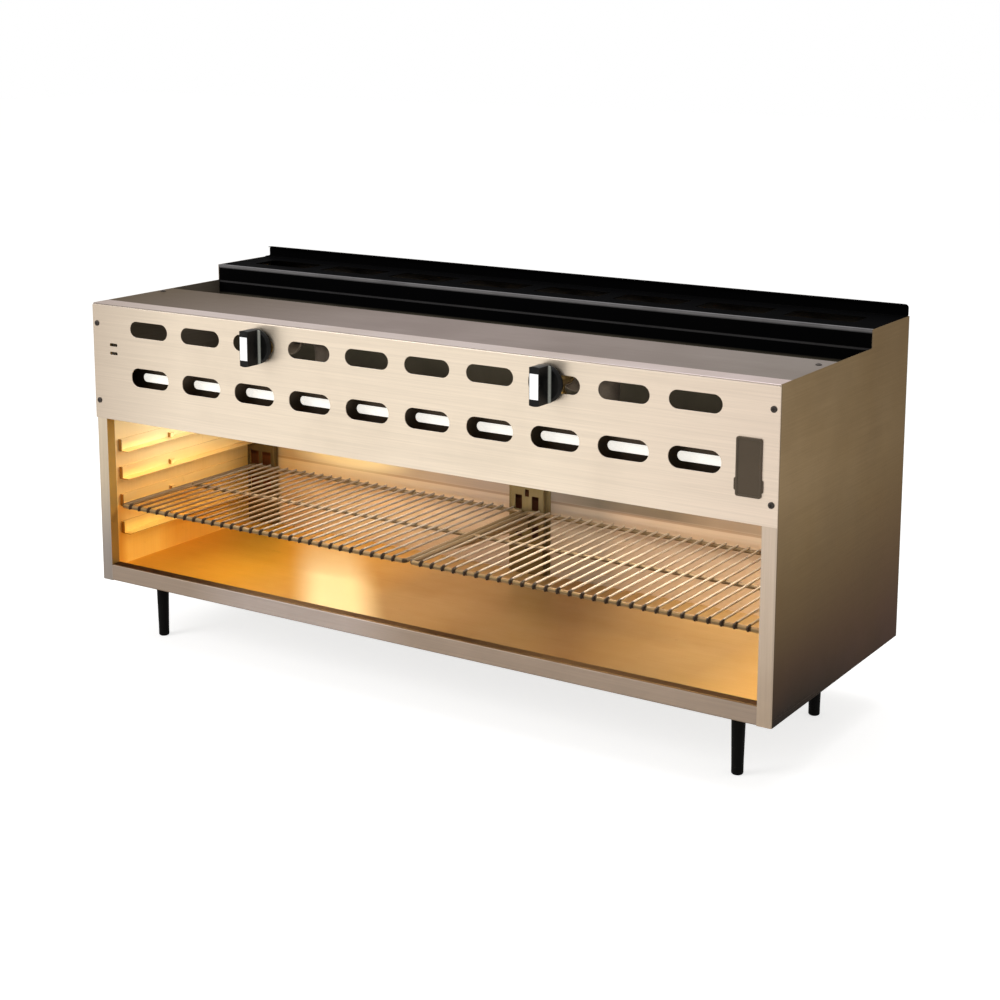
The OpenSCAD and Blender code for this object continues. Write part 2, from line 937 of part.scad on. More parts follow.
// The slotted channel up the middle of the rear wall.
module centre_post() {
    color(golden)
        cabinet_frame()
            difference() {
                linear_extrude_between(floor_h, deck_h)
                    for (side = [0, 1])
                        mirror([side, 0]) {
                            translate([post_w / 2, post_face])
                                mirror([1, 0])
                                    bent_sheet(post_w / 2, post_d, guide_t, guide_r);
                            translate([post_w / 2 - guide_t, cavity_d - guide_t])
                                square([post_foot, guide_t]);
                        }
                for (i = [0 : guide_count - 1])
                    translate([0, 0, guide_first + i * guide_pitch]) {
                        post_slot(0, hook_w, -hook_drop, hook_h);
                        for (x = [-post_w / 4, post_w / 4])
                            post_slot(x, post_w / 5, guide_pitch / 6, post_slot_h);
                    }
            }
}

// A slot in a post's front face, z above its level.
module post_slot(x, w, z, h) {
    block([x - w / 2, post_face - cut, z],
        [x + w / 2, post_face + guide_t + cut, z + h]);
}

// A plan profile raised from z0 to z1.
module linear_extrude_between(z0, z1) {
    translate([0, 0, z0])
        linear_extrude(z1 - z0)
            children();
}

// The slotted channels in the two rear corners.
module corner_posts() {
    color(golden)
        cabinet_frame()
            for (side = [0, 1])
                mirror([side, 0, 0])
                    difference() {
                        linear_extrude_between(floor_h, deck_h)
                            translate([liner_x - corner_w, post_face])
                                bent_sheet(corner_w, post_d, guide_t, guide_r);
                        for (i = [0 : guide_count - 1], column = [0.26, 0.71])
                            translate([0, 0, guide_first + i * guide_pitch])
                                post_slot(liner_x - corner_w * column,
                                    corner_w * 0.32, guide_pitch / 6, post_slot_h);
                    }
}

// The arm that carries the inner edges of both racks, hooked in the post.
module centre_support() {
    tip = post_face - support_len;
    hook_top = rack_z - guide_t - hook_drop + hook_h - hook_gap;
    hook_low = hook_top - hook_h + 2 * hook_gap;
    color(golden)
        cabinet_frame() {
            block([-support_w / 2, tip, rack_z - support_t],
                [support_w / 2, post_face, rack_z]);
            along_x(-support_t, support_t)
                polygon([
                    [tip + support_w / 2, rack_z - support_t / 2],
                    [tip + support_w / 2, rack_z - support_w / 4],
                    [post_face, rack_z - support_w],
                    [post_face, hook_low],
                    [post_face + 4 * guide_t, hook_low],
                    [post_face + 4 * guide_t, hook_top],
                    [post_face, hook_top],
                    [post_face, rack_z - support_t / 2]
                ]);
        }
}

// ---- Racks ----

// One wire rack: a rod rim with bent corners, a middle bar, and wires
// laid across and welded on top.
module rack() {
    $fn = rod_fn;
    x0 = rack_x0 + rack_corner;
    x1 = rack_x1 - rack_corner;
    y0 = rack_y0 + rack_corner;
    y1 = rack_y1 - rack_corner;
    color(chrome)
        cabinet_frame()
            union() {
                for (y = [rack_y0, rack_y1])
                    round_x(x0, x1, y, rim_z, rim_r);
                for (x = [rack_x0, rack_x1])
                    round_y(x, y0, y1, rim_z, rim_r);
                rack_bend(x0, y0, 180);
                rack_bend(x1, y0, 270);
                rack_bend(x1, y1, 0);
                rack_bend(x0, y1, 90);
                round_x(rack_x0, rack_x1, rack_mid, rim_z, rim_r - weld / 2);
                for (i = [1 : wire_gaps - 1])
                    rack_wire(rack_x0 + i * wire_step);
            }
}

// A wire at x, its front end wrapped down over the rim.
module rack_wire(x) {
    wrap_r = wire_z - rim_z;
    round_y(x, rack_y0, rack_y1 + rim_r, wire_z, wire_r);
    round_z(x, rack_y0 - wrap_r, rim_z - wire_tip, rim_z, wire_r);
    translate([x, rack_y0, rim_z])
        rotate([90, 0, 90])
            rotate(90)
                rotate_extrude(angle = 90)
                    translate([wrap_r, 0])
                        circle(wire_r);
}

// A quarter of a bent rod at a rack's corner.
module rack_bend(x, y, turn) {
    translate([x, y, rim_z])
        rotate(turn)
            rotate_extrude(angle = 90)
                translate([rack_corner, 0])
                    circle(rim_r);
}

module rack_left() {
    mirror([1, 0, 0])
        rack();
}

module rack_right() {
    rack();
}

// ---- Burners ----

// Distance of a pilot from the middle of the cabinet.
function pilot_x() = burner_x - pilot_offset;

// The plenum: an inverted tray on the deck, with the mixer tube's hole.
module burner() {
    x0 = burner_x - burner_w / 2;
    x1 = burner_x + burner_w / 2;
    y1 = burner_front + burner_len;
    color(iron)
        cabinet_frame()
            difference() {
                union() {
                    block([x0, burner_front, deck_top], [x1, y1, plenum_top]);
                    block([x0 - plenum_flange, burner_front - plenum_flange,
                            deck_top],
                        [x1 + plenum_flange, y1 + plenum_flange,
                            deck_top + plenum_t]);
                }
                block([x0 + plenum_t, burner_front + plenum_t, deck_top - cut],
                    [x1 - plenum_t, y1 - plenum_t, plenum_top - plenum_t]);
                round_z(valve_x, mixer_y, plenum_top - plenum_t - cut,
                    plenum_top + cut, mixer_r - mixer_t);
            }
}

module burner_left() {
    mirror([1, 0, 0])
        burner();
}

module burner_right() {
    burner();
}

// The row of ceramic tiles, lying on the deck inside the plenum.
module burner_tiles() {
    inner = burner_w - 2 * plenum_t;
    tile_w = (inner - (tile_count + 1) * tile_gap) / tile_count;
    x0 = burner_x - inner / 2 + tile_gap;
    y0 = burner_front + plenum_t + tile_gap;
    y1 = burner_front + burner_len - plenum_t - tile_gap;
    color(ceramic)
        cabinet_frame()
            for (i = [0 : tile_count - 1])
                translate([x0 + i * (tile_w + tile_gap), 0, 0])
                    block([0, y0, deck_top], [tile_w, y1, deck_top + tile_t]);
}

module burner_tiles_left() {
    mirror([1, 0, 0])
        burner_tiles();
}

module burner_tiles_right() {
    burner_tiles();
}

// The rod screen that hangs below the tiles on four hangers.
module burner_screen() {
    $fn = rod_fn;
    r = screen_rod / 2;
    z = deck_h - screen_drop;
    x0 = burner_x - burner_w / 2;
    x1 = burner_x + burner_w / 2;
    y0 = burner_front;
    y1 = burner_front + burner_len;
    gaps = round(burner_w / screen_pitch);
    step = burner_w / gaps;
    color(chrome)
        cabinet_frame()
            union() {
                for (y = [y0, (y0 + y1) / 2, y1])
                    round_x(x0 - r, x1 + r, y, z, r);
                for (i = [0 : gaps])
                    round_y(x0 + i * step, y0 - r, y1 + r, z + 1.6 * r, r);
                for (x = [x0 + 2.5 * step, x1 - 2.5 * step], y = [y0, y1])
                    round_z(x, y, z, deck_h, 0.8 * r);
            }
}

module burner_screen_left() {
    mirror([1, 0, 0])
        burner_screen();
}

module burner_screen_right() {
    burner_screen();
}

// The mixer tube: a bell mouth and throat in line with the valve, and an
// elbow down into the plenum.
module venturi() {
    color(iron)
        cabinet_frame()
            difference() {
                mixer_solid(0);
                mixer_solid(mixer_t);
            }
}

// The mixer tube's outer form, or its bore when inset by the wall.
module mixer_solid(inset) {
    extra = inset > 0 ? cut : 0;
    length = mixer_turn - mixer_mouth;
    throat_y = length * 0.42;
    throat_r = mixer_r * 0.75;
    translate([valve_x, mixer_mouth, upper_z])
        rotate([-90, 0, 0])
            rotate_extrude()
                polygon([
                    [0, -extra],
                    [mixer_r + mouth_flare - inset, -extra],
                    [mixer_r + mouth_flare - inset, mouth_len],
                    [throat_r - inset, throat_y],
                    [throat_r - inset, throat_y + throat_len],
                    [mixer_r - inset, length],
                    [0, length]
                ]);
    translate([valve_x, mixer_turn, upper_z - mixer_bend])
        rotate([0, -90, 0])
            rotate_extrude(angle = 90)
                translate([mixer_bend, 0])
                    circle(mixer_r - inset);
    round_z(valve_x, mixer_y, plenum_top - extra,
        upper_z - mixer_bend, mixer_r - inset);
}

module venturi_left() {
    mirror([1, 0, 0])
        venturi();
}

module venturi_right() {
    venturi();
}

// ---- Gas train ----

// The manifold pipe, with a tapped hole below each valve.
module gas_manifold() {
    color(iron)
        cabinet_frame()
            difference() {
                round_x(manifold_x, supply_x - supply_bend, manifold_d,
                    manifold_h, pipe_r);
                round_x(manifold_x - cut, supply_x - supply_bend + cut,
                    manifold_d, manifold_h, pipe_id / 2);
                for (x = [-valve_x, valve_x])
                    round_z(x, manifold_d, manifold_h, upper_z,
                        boss_od / 2);
            }
}

// The cap that closes the manifold's left end.
module manifold_cap() {
    color(iron)
        cabinet_frame()
            difference() {
                round_x(manifold_x - clamp_t, manifold_x + pipe_r,
                    manifold_d, manifold_h, pipe_r + clamp_t);
                round_x(manifold_x, manifold_x + pipe_r + cut,
                    manifold_d, manifold_h, pipe_r);
            }
}

// The saddles that hold the manifold on the baffle's top flange.
module manifold_brackets() {
    clamp_r = pipe_r + clamp_t;
    half = bracket_w / 2;
    inner = pilot_x() - bracket_offset;
    outer = (valve_x + supply_x) / 2;
    color(dark_steel)
        cabinet_frame()
            for (x = [-inner, 0, inner, outer])
                difference() {
                    union() {
                        intersection() {
                            round_x(x - half, x + half, manifold_d, manifold_h,
                                clamp_r);
                            block([x - bracket_w, 0, baffle_top],
                                [x + bracket_w, 3 * clamp_r, manifold_h + clamp_r]);
                        }
                        block([x - half, baffle_d + clamp_t, baffle_top],
                            [x + half, baffle_d + baffle_flange, manifold_h]);
                    }
                    round_x(x - bracket_w, x + bracket_w, manifold_d,
                        manifold_h, pipe_r);
                }
}

// The supply pipe, from the manifold round the corner to the back.
module supply_pipe() {
    y0 = manifold_d + supply_bend;
    y1 = body_d + inlet_reach - inlet_depth;
    color(iron)
        cabinet_frame()
            difference() {
                union() {
                    supply_elbow(pipe_r);
                    round_y(supply_x, y0, y1, manifold_h, pipe_r);
                }
                supply_elbow(pipe_id / 2);
                round_y(supply_x, y0, y1 + cut, manifold_h, pipe_id / 2);
            }
}

// The bend between the manifold and the supply pipe.
module supply_elbow(r) {
    translate([supply_x - supply_bend, manifold_d + supply_bend, manifold_h])
        rotate(-90)
            rotate_extrude(angle = 90)
                translate([supply_bend, 0])
                    circle(r);
}

// The inlet coupling, with the bore that takes the supply line's thread.
module gas_inlet() {
    y1 = body_d + inlet_reach;
    color(brass)
        cabinet_frame()
            difference() {
                round_y(supply_x, y1 - coupling_len, y1, manifold_h,
                    coupling_od / 2);
                round_y(supply_x, y1 - inlet_depth, y1 + cut, manifold_h,
                    inlet_bore / 2);
                round_y(supply_x, y1 - coupling_len - cut,
                    y1 - inlet_depth, manifold_h, pipe_r);
            }
}

// A burner valve: body, front collar, and the boss in the manifold.
module valve() {
    color(brass)
        cabinet_frame()
            difference() {
                union() {
                    round_y(valve_x, valve_front, valve_end, upper_z,
                        valve_od / 2);
                    round_y(valve_x, valve_front, valve_front + collar_len,
                        upper_z, valve_od / 2 + collar_rim);
                    round_z(valve_x, manifold_d, manifold_h + pipe_r - boss_sunk,
                        upper_z, boss_od / 2);
                    round_z(valve_x, manifold_d, nut_h, nut_h + boss_nut_h,
                        boss_od / 2 + collar_rim);
                }
                round_y(valve_x, valve_front - cut, stem_end + 0.5, upper_z,
                    stem_r + stem_fit);
            }
}

module valve_left() {
    mirror([1, 0, 0])
        valve();
}

module valve_right() {
    valve();
}

// The hexagonal orifice hoods behind the valves.
module orifices() {
    color(brass)
        cabinet_frame()
            for (x = [-valve_x, valve_x])
                difference() {
                    translate([x, valve_end, upper_z])
                        rotate([-90, 0, 0])
                            cylinder(h = orifice_len, d = orifice_od, $fn = 6);
                    round_y(x, valve_end - cut, valve_end + orifice_len + cut,
                        upper_z, 1);
                }
}

// The turned stem, with a flat where the knob sits.
module valve_stem() {
    color(brass)
        cabinet_frame()
            union() {
                round_y(valve_x, skirt_back, stem_end, upper_z, stem_r);
                stem_tip_solid();
            }
}

// The flatted end of the stem, as long as the knob's socket.
module stem_tip_solid() {
    difference() {
        round_y(valve_x, stem_tip, skirt_back, upper_z, stem_r);
        block([valve_x + stem_flat, stem_tip - cut, upper_z - stem_d],
            [valve_x + stem_d, skirt_back + cut, upper_z + stem_d]);
    }
}

module valve_stem_left() {
    mirror([1, 0, 0])
        valve_stem();
}

module valve_stem_right() {
    valve_stem();
}

// The pilot burners below the deck.
module pilots() {
    tip_z = deck_h - pilot_od;
    color(brass)
        cabinet_frame()
            for (x = [-pilot_x(), pilot_x()]) {
                round_z(x, pilot_d, tip_z - 9, tip_z, pilot_od / 2 + 1.5);
                round_y(x, pilot_d, burner_front - 3, tip_z - 5, 2.2);
            }
}

// The tubes from the manifold to the pilots, with their fittings.
module pilot_tubes() {
    bend = 8;
    r = pilot_od / 2;
    back = manifold_d + pipe_r;
    color(dark_steel)
        cabinet_frame()
            for (x = [-pilot_x(), pilot_x()])
                union() {
                    difference() {
                        round_y(x, back - 6, back + 7, manifold_h, r + 2.6);
                        round_x(x - pipe_od, x + pipe_od, manifold_d, manifold_h,
                            pipe_r);
                    }
                    round_y(x, back + 3, pilot_d - bend, manifold_h, r);
                    translate([x, pilot_d - bend, manifold_h - bend])
                        rotate([0, -90, 0])
                            rotate_extrude(angle = 90)
                                translate([bend, 0])
                                    circle(r);
                    round_z(x, pilot_d, deck_h - pilot_od, manifold_h - bend, r);
                }
}

// ---- Insulation ----

// The white blanket behind the baffle's slots.
module front_insulation() {
    y0 = baffle_d + liner_t;
    color(blanket)
        cabinet_frame()
            difference() {
                block([-liner_x + 2, y0, deck_top],
                    [liner_x - 2, y0 + front_blanket_t, baffle_top - liner_t]);
                block([-liner_x, y0 - cut, deck_top - cut],
                    [liner_x, baffle_d + baffle_flange + 1, deck_top + 3]);
                block([-liner_x, y0 - cut, baffle_top - 3],
                    [liner_x, baffle_d + baffle_flange + 1, baffle_top]);
            }
}

// The blankets behind the rear liner and beside the side liners.
module cavity_insulation() {
    y0 = cavity_d + liner_t;
    color(blanket)
        cabinet_frame() {
            block([-liner_x, y0, base_top],
                [liner_x, min(y0 + blanket_t, shelf_end), deck_h - 3]);
            for (side = [0, 1])
                mirror([side, 0, 0])
                    block([liner_x + liner_t, stile_return + 6, base_top],
                        [inner_w, cavity_d, deck_h]);
        }
}

// ---- Knobs ----

// The bezels on the panel, which close the slots round the stems.
module knob_bezels() {
    color(enamel)
        cabinet_frame()
            for (x = [-valve_x, valve_x])
                difference() {
                    round_y(x, -bezel_t, 0, upper_z, bezel_d / 2);
                    round_y(x, -bezel_t - cut, cut, upper_z, stem_r + bezel_fit);
                }
}

// Plan of a grip bar: straight flanks that flare out at the skirt.
module bar_2d() {
    translate([-bar_w / 2, bar_face])
        square([bar_w, bar_d]);
    for (side = [0, 1])
        mirror([side, 0])
            translate([bar_w / 2, skirt_face - bar_flare])
                difference() {
                    square(bar_flare);
                    translate([bar_flare, 0])
                        circle(bar_flare);
                }
}

// A knob: round skirt with a bevelled edge, and a tall grip bar.
module knob() {
    skirt_r = knob_d / 2;
    color(phenolic)
        cabinet_frame()
            difference() {
                union() {
                    translate([valve_x, skirt_back, upper_z])
                        rotate([90, 0, 0])
                            rotate_extrude()
                                polygon([
                                    [0, 0],
                                    [skirt_r, 0],
                                    [skirt_r, skirt_t * 0.4],
                                    [skirt_r - 3, skirt_t],
                                    [0, skirt_t]
                                ]);
                    intersection() {
                        round_y(valve_x, bar_face, skirt_face, upper_z,
                            bar_h / 2);
                        translate([valve_x, 0, upper_z - bar_h])
                            linear_extrude(2 * bar_h)
                                bar_2d();
                    }
                }
                stem_tip_solid();
                block([valve_x - insert_w / 2, bar_face - cut,
                        upper_z - insert_h / 2],
                    [valve_x + insert_w / 2, insert_back(),
                        upper_z + insert_h / 2]);
            }
}

// Depth of the bottom of the insert's recess.
function insert_back() = bar_face + insert_t - insert_proud;

// The bright insert let into the face of a knob's bar.
module knob_insert() {
    color(chrome)
        cabinet_frame()
            block([valve_x - insert_w / 2, bar_face - insert_proud,
                    upper_z - insert_h / 2],
                [valve_x + insert_w / 2, insert_back(),
                    upper_z + insert_h / 2]);
}

module knob_left() {
    mirror([1, 0, 0])
        knob();
}

module knob_right() {
    knob();
}

module knob_insert_left() {
    mirror([1, 0, 0])
        knob_insert();
}

module knob_insert_right() {
    knob_insert();
}

// ---- Legs ----

// The four legs: a slim tapered tube below a flange, with a bolt on top.
module legs() {
    top = leg_h + sheet;
    color(enamel)
        translate([0, front_y, 0])
            for (x = [-leg_x, leg_x], y = leg_depths)
                translate([x, y, 0])
                    difference() {
                        rotate_extrude()
                            polygon([
                                [0, foot_h + foot_gap],
                                [leg_tip_d / 2, foot_h + foot_gap],
                                [leg_d / 2, top - leg_flange_t],
                                [leg_flange_d / 2, top - leg_flange_t],
                                [leg_flange_d / 2, top],
                                [leg_bolt_r, top],
                                [leg_bolt_r, top + leg_bolt_len],
                                [0, top + leg_bolt_len]
                            ]);
                        round_z(0, 0, 0, foot_h + foot_stud_len + 2,
                            foot_stud_d / 2 + foot_fit);
                    }
}

// The tapped plates on the base that take the legs' bolts.
module leg_plates() {
    color(dark_steel)
        cabinet_frame()
            for (x = [-leg_x, leg_x], y = leg_depths)
                translate([x, y, base_top])
                    difference() {
                        linear_extrude(leg_plate_t)
                            rounded_2d(leg_plate_w, leg_plate_w, leg_plate_t);
                        round_z(0, 0, -cut, leg_plate_t + cut, leg_bolt_r);
                    }
}

// A levelling foot: a rounded pad on a threaded stud.
module foot(x, y) {
    r = leg_tip_d / 2;
    edge = 3;
    color(enamel)
        translate([x, front_y + y, 0])
            rotate_extrude() {
                square([r - edge, foot_h]);
                translate([0, edge])
                    square([r, foot_h - edge]);
                translate([r - edge, edge])
                    intersection() {
                        circle(edge);
                        translate([0, -edge])
                            square(edge);
                    }
                square([foot_stud_d / 2, foot_h + foot_stud_len]);
            }
}

module foot_front_left() {
    foot(-leg_x, leg_front);
}

module foot_front_right() {
    foot(leg_x, leg_front);
}

module foot_rear_left() {
    foot(-leg_x, leg_rear);
}

module foot_rear_right() {
    foot(leg_x, leg_rear);
}

// ---- Badge and screws ----

// A plain plate with a raised border and a wider band near its foot.
module badge_plate() {
    color(iron)
        cabinet_frame()
            translate([half_w - badge_inset, 0, badge_z()]) {
                along_y(-badge_t, 0) {
                    rounded_2d(badge_w, badge_h, 3);
                    translate([0, -badge_h * 0.3])
                        rounded_2d(badge_w + 2 * badge_border, badge_band, 2);
                }
                along_y(-1.5 * badge_t, -badge_t)
                    difference() {
                        rounded_2d(badge_w, badge_h, 3);
                        rounded_2d(badge_w - 2 * badge_border,
                            badge_h - 2 * badge_border, 1.5);
                    }
                for (z = [-badge_pin_z(), badge_pin_z()])
                    round_y(0, 0, sheet + badge_t, z, badge_pin_d / 2);
            }
}

// A domed screw along Y, its head's underside at 0, its shank behind.
module screw_y(shank) {
    dome_r = head_d * 0.9;
    difference() {
        intersection() {
            translate([0, dome_r - head_rise, 0])
                sphere(dome_r);
            round_y(0, -head_rise - cut, 0, 0, head_d / 2);
        }
        for (turn = [0, 90])
            rotate([0, turn, 0])
                block([-recess_len / 2, -head_rise - cut, -recess_w / 2],
                    [recess_len / 2, recess_deep - head_rise, recess_w / 2]);
    }
    round_y(0, -sheet / 2, shank, 0, screw_r);
}

// The four screws that hold the valve panel to the stiles.
module panel_screws() {
    color(dark_steel)
        cabinet_frame()
            for (side = [0, 1])
                mirror([side, 0, 0])
                    panel_screw_places()
                        screw_y(8);
}

// The screws of the top panel and the back.
module case_screws() {
    color(dark_steel)
        cabinet_frame()
            for (side = [0, 1])
                mirror([side, 0, 0]) {
                    translate([half_w - top_screw_inset, top_screw_d, body_h])
                        rotate([-90, 0, 0])
                            screw_y(7);
                    rear_screw_places()
                        rotate([0, 0, 180])
                            screw_y(6);
                }
}

left_side_panel();
right_side_panel();
valve_panel();
top_panel();
bottom_rail();
base_panel();
rear_panel();
burner_baffle();
burner_deck();
left_liner();
right_liner();
rear_liner();
cavity_floor();
rack_guides_left();
rack_guides_right();
centre_post();
corner_posts();
centre_support();
flue_front();
flue_top();
flue_riser();
front_insulation();
cavity_insulation();
burner_left();
burner_right();
burner_tiles_left();
burner_tiles_right();
burner_screen_left();
burner_screen_right();
venturi_left();
venturi_right();
gas_manifold();
manifold_cap();
manifold_brackets();
supply_pipe();
gas_inlet();
valve_left();
valve_right();
orifices();
knob_bezels();
pilots();
pilot_tubes();
legs();
leg_plates();
badge_plate();
panel_screws();
case_screws();
knob_left();
knob_right();
knob_insert_left();
knob_insert_right();
valve_stem_left();
valve_stem_right();
rack_left();
rack_right();
foot_front_left();
foot_front_right();
foot_rear_left();
foot_rear_right();
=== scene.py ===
"""Gas cheese melter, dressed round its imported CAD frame.

The shapes are the CAD solids as they are: this script adds their
materials, the camera, the lamps and the floor. Metres, in the frame's
axes: +X to the right, +Y to the back, +Z up.
"""

import math

import bpy
from mathutils import Matrix, Vector


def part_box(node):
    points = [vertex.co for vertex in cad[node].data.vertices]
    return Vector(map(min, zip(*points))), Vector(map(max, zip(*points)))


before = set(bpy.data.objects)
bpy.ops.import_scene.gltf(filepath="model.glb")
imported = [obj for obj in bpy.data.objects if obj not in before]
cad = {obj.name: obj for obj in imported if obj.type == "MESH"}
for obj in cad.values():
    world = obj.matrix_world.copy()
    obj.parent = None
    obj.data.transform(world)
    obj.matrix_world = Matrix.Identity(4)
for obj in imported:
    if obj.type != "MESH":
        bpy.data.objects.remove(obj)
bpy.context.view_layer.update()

# The photograph's camera, in millimetres from the middle of the valve
# panel's face at the cabinet's underside. Angles in degrees.
CAMERA_AT = (1588.6, -2182.3, 949.7)
CAMERA_YAW = 32.834
CAMERA_PITCH = 10.489
CAMERA_ROLL = 0.106
FRAME_PX = 1000
FOCAL_PX = 1881.6
AXIS_PX = 350
SENSOR_MM = 36
CLIP_M = (0.05, 60)

# Light: the world's warm tint and strength, and the lamps in watts.
WORLD_TINT = (1.0, 0.98, 0.95, 1)
WORLD_STRENGTH = 0.55
KEY_W = 45
TOP_W = 30
TILE_W = 2.2
COMPARTMENT_W = 0.40
LAMP_AIM = (0, 0, 0.4)
TILE_LAMP_DROP = 0.022

# The floor's own grey, and what it adds where it is seen directly, so
# that it shows as near white and still takes the object's shadow.
FLOOR_HALF = 14
FLOOR_GREY = (0.60, 0.60, 0.60, 1)
FLOOR_GLOW = 0.69

# Places on the cabinet.
FRONT_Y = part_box("valve_panel")[0].y
TOP_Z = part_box("valve_panel")[1].z
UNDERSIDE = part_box("left_side_panel")[0].z
STILE_D = 0.030
POSTS_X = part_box("corner_posts")[1].x
SEAM_Z = 0.246

# The floor's painted light and shade at the right lie in lines that lean to the
# left towards the back, by 28.6 degrees. These are its cosine and sine.
LEAN_COS = 0.878
LEAN_SIN = 0.479

# The racks: rim rods, with wires laid on them and wrapped over the front.
RIM_R = 0.0035
WIRE_PITCH = 0.020
WIRE_RISE = 0.0028
RACK_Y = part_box("rack_left")[0].y
RIM_TOP_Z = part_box("rack_left")[1].z - WIRE_RISE
WIRE_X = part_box("rack_right")[0].x + RIM_R
WIRE_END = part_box("rack_right")[1].x - RIM_R
WIRE_STEP = (WIRE_END - WIRE_X) / round((WIRE_END - WIRE_X) / WIRE_PITCH)

# The knobs: how thick the skirt is, the turning axis, and the skirt's face.
SKIRT_D = 0.006
KNOB_X = (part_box("knob_insert_right")[0].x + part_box("knob_insert_right")[1].x) / 2
SKIRT_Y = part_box("knob_right")[1].y - SKIRT_D

# Half the width of a tone's sharp edge on a rack.
SHARP = 0.0002


# ---- Camera, light and floor ----


def make_camera():
    data = bpy.data.cameras.new("camera")
    data.sensor_width = SENSOR_MM
    data.lens = FOCAL_PX * SENSOR_MM / FRAME_PX
    data.shift_y = (AXIS_PX - FRAME_PX / 2) / FRAME_PX
    data.clip_start, data.clip_end = CLIP_M
    camera = bpy.data.objects.new("camera", data)
    place = Vector(CAMERA_AT) / 1000 + Vector((0, FRONT_Y, UNDERSIDE))
    turn = (
        Matrix.Rotation(math.radians(CAMERA_YAW), 4, "Z")
        @ Matrix.Rotation(math.radians(90 - CAMERA_PITCH), 4, "X")
        @ Matrix.Rotation(math.radians(CAMERA_ROLL), 4, "Z")
    )
    camera.matrix_world = Matrix.Translation(place) @ turn
    bpy.context.scene.collection.objects.link(camera)
    bpy.context.scene.camera = camera


def area_light(name, at, aim, size, watts, colour=(1, 1, 1)):
    data = bpy.data.lights.new(name, "AREA")
    data.shape = "RECTANGLE"
    data.size, data.size_y = size
    data.energy, data.color = watts, colour
    lamp = bpy.data.objects.new(name, data)
    lamp.visible_camera = False
    lamp.location = at
    direction = Vector(aim) - Vector(at)
    lamp.rotation_euler = direction.to_track_quat("-Z", "Y").to_euler()
    bpy.context.scene.collection.objects.link(lamp)


def make_lamps():
    """Two soft studio lamps, and three small ones in the cabinet."""
    area_light("key", (-1.9, -2.6, 2.0), LAMP_AIM, (1.6, 1.6), KEY_W)
    area_light("top", (0.2, 0.3, 2.6), LAMP_AIM, (2.0, 2.0), TOP_W)
    for tile in ("burner_tiles_left", "burner_tiles_right"):
        low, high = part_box(tile)
        middle = (low + high) / 2
        area_light(
            tile + "_glow",
            (middle.x, middle.y, low.z - TILE_LAMP_DROP),
            (middle.x, middle.y, 0),
            (0.46, 0.12),
            TILE_W,
            (1.0, 0.93, 0.78),
        )
    area_light(
        "compartment",
        (0, FRONT_Y + 0.022, TOP_Z - 0.03),
        (0, FRONT_Y + 0.25, TOP_Z - 0.12),
        (1.1, 0.02),
        COMPARTMENT_W,
        (1.0, 0.95, 0.8),
    )


def seen_directly(tree):
    """1 for camera, glossy and transmission rays, 0 for the rest."""
    path = tree.nodes.new("ShaderNodeLightPath")
    total = path.outputs["Is Camera Ray"]
    for name in ("Is Glossy Ray", "Is Transmission Ray"):
        both = tree.nodes.new("ShaderNodeMath")
        both.operation = "MAXIMUM"
        tree.links.new(total, both.inputs[0])
        tree.links.new(path.outputs[name], both.inputs[1])
        total = both.outputs[0]
    return total


def make_world():
    """White where it is seen directly, and a plain warm light elsewhere."""
    world = bpy.data.worlds.new("studio")
    bpy.context.scene.world = world
    world.use_nodes = True
    tree = world.node_tree
    tree.nodes.clear()
    out = tree.nodes.new("ShaderNodeOutputWorld")
    mix = tree.nodes.new("ShaderNodeMixShader")
    light = tree.nodes.new("ShaderNodeBackground")
    light.inputs["Color"].default_value = WORLD_TINT
    light.inputs["Strength"].default_value = WORLD_STRENGTH
    white = tree.nodes.new("ShaderNodeBackground")
    white.inputs["Color"].default_value = (1, 1, 1, 1)
    tree.links.new(seen_directly(tree), mix.inputs[0])
    tree.links.new(light.outputs[0], mix.inputs[1])
    tree.links.new(white.outputs[0], mix.inputs[2])
    tree.links.new(mix.outputs[0], out.inputs[0])


def make_floor():
    mesh = bpy.data.meshes.new("floor")
    half = FLOOR_HALF
    corners = [(-half, -half, 0), (half, -half, 0), (half, half, 0), (-half, half, 0)]
    mesh.from_pydata(corners, [], [(0, 1, 2, 3)])
    floor = bpy.data.objects.new("floor", mesh)
    bpy.context.scene.collection.objects.link(floor)
    paint = bpy.data.materials.new("floor")
    paint.use_nodes = True
    tree = paint.node_tree
    tree.nodes.clear()
    out = tree.nodes.new("ShaderNodeOutputMaterial")
    add = tree.nodes.new("ShaderNodeAddShader")
    diffuse = tree.nodes.new("ShaderNodeBsdfDiffuse")
    diffuse.inputs["Color"].default_value = FLOOR_GREY
    glow = tree.nodes.new("ShaderNodeEmission")
    scale = tree.nodes.new("ShaderNodeMath")
    scale.operation = "MULTIPLY"
    scale.inputs[1].default_value = FLOOR_GLOW
    tree.links.new(seen_directly(tree), scale.inputs[0])
    tree.links.new(scale.outputs[0], glow.inputs["Strength"])
    tree.links.new(diffuse.outputs[0], add.inputs[0])
    tree.links.new(glow.outputs[0], add.inputs[1])
    tree.links.new(add.outputs[0], out.inputs[0])
    mesh.materials.append(paint)


# ---- The builder of materials ----


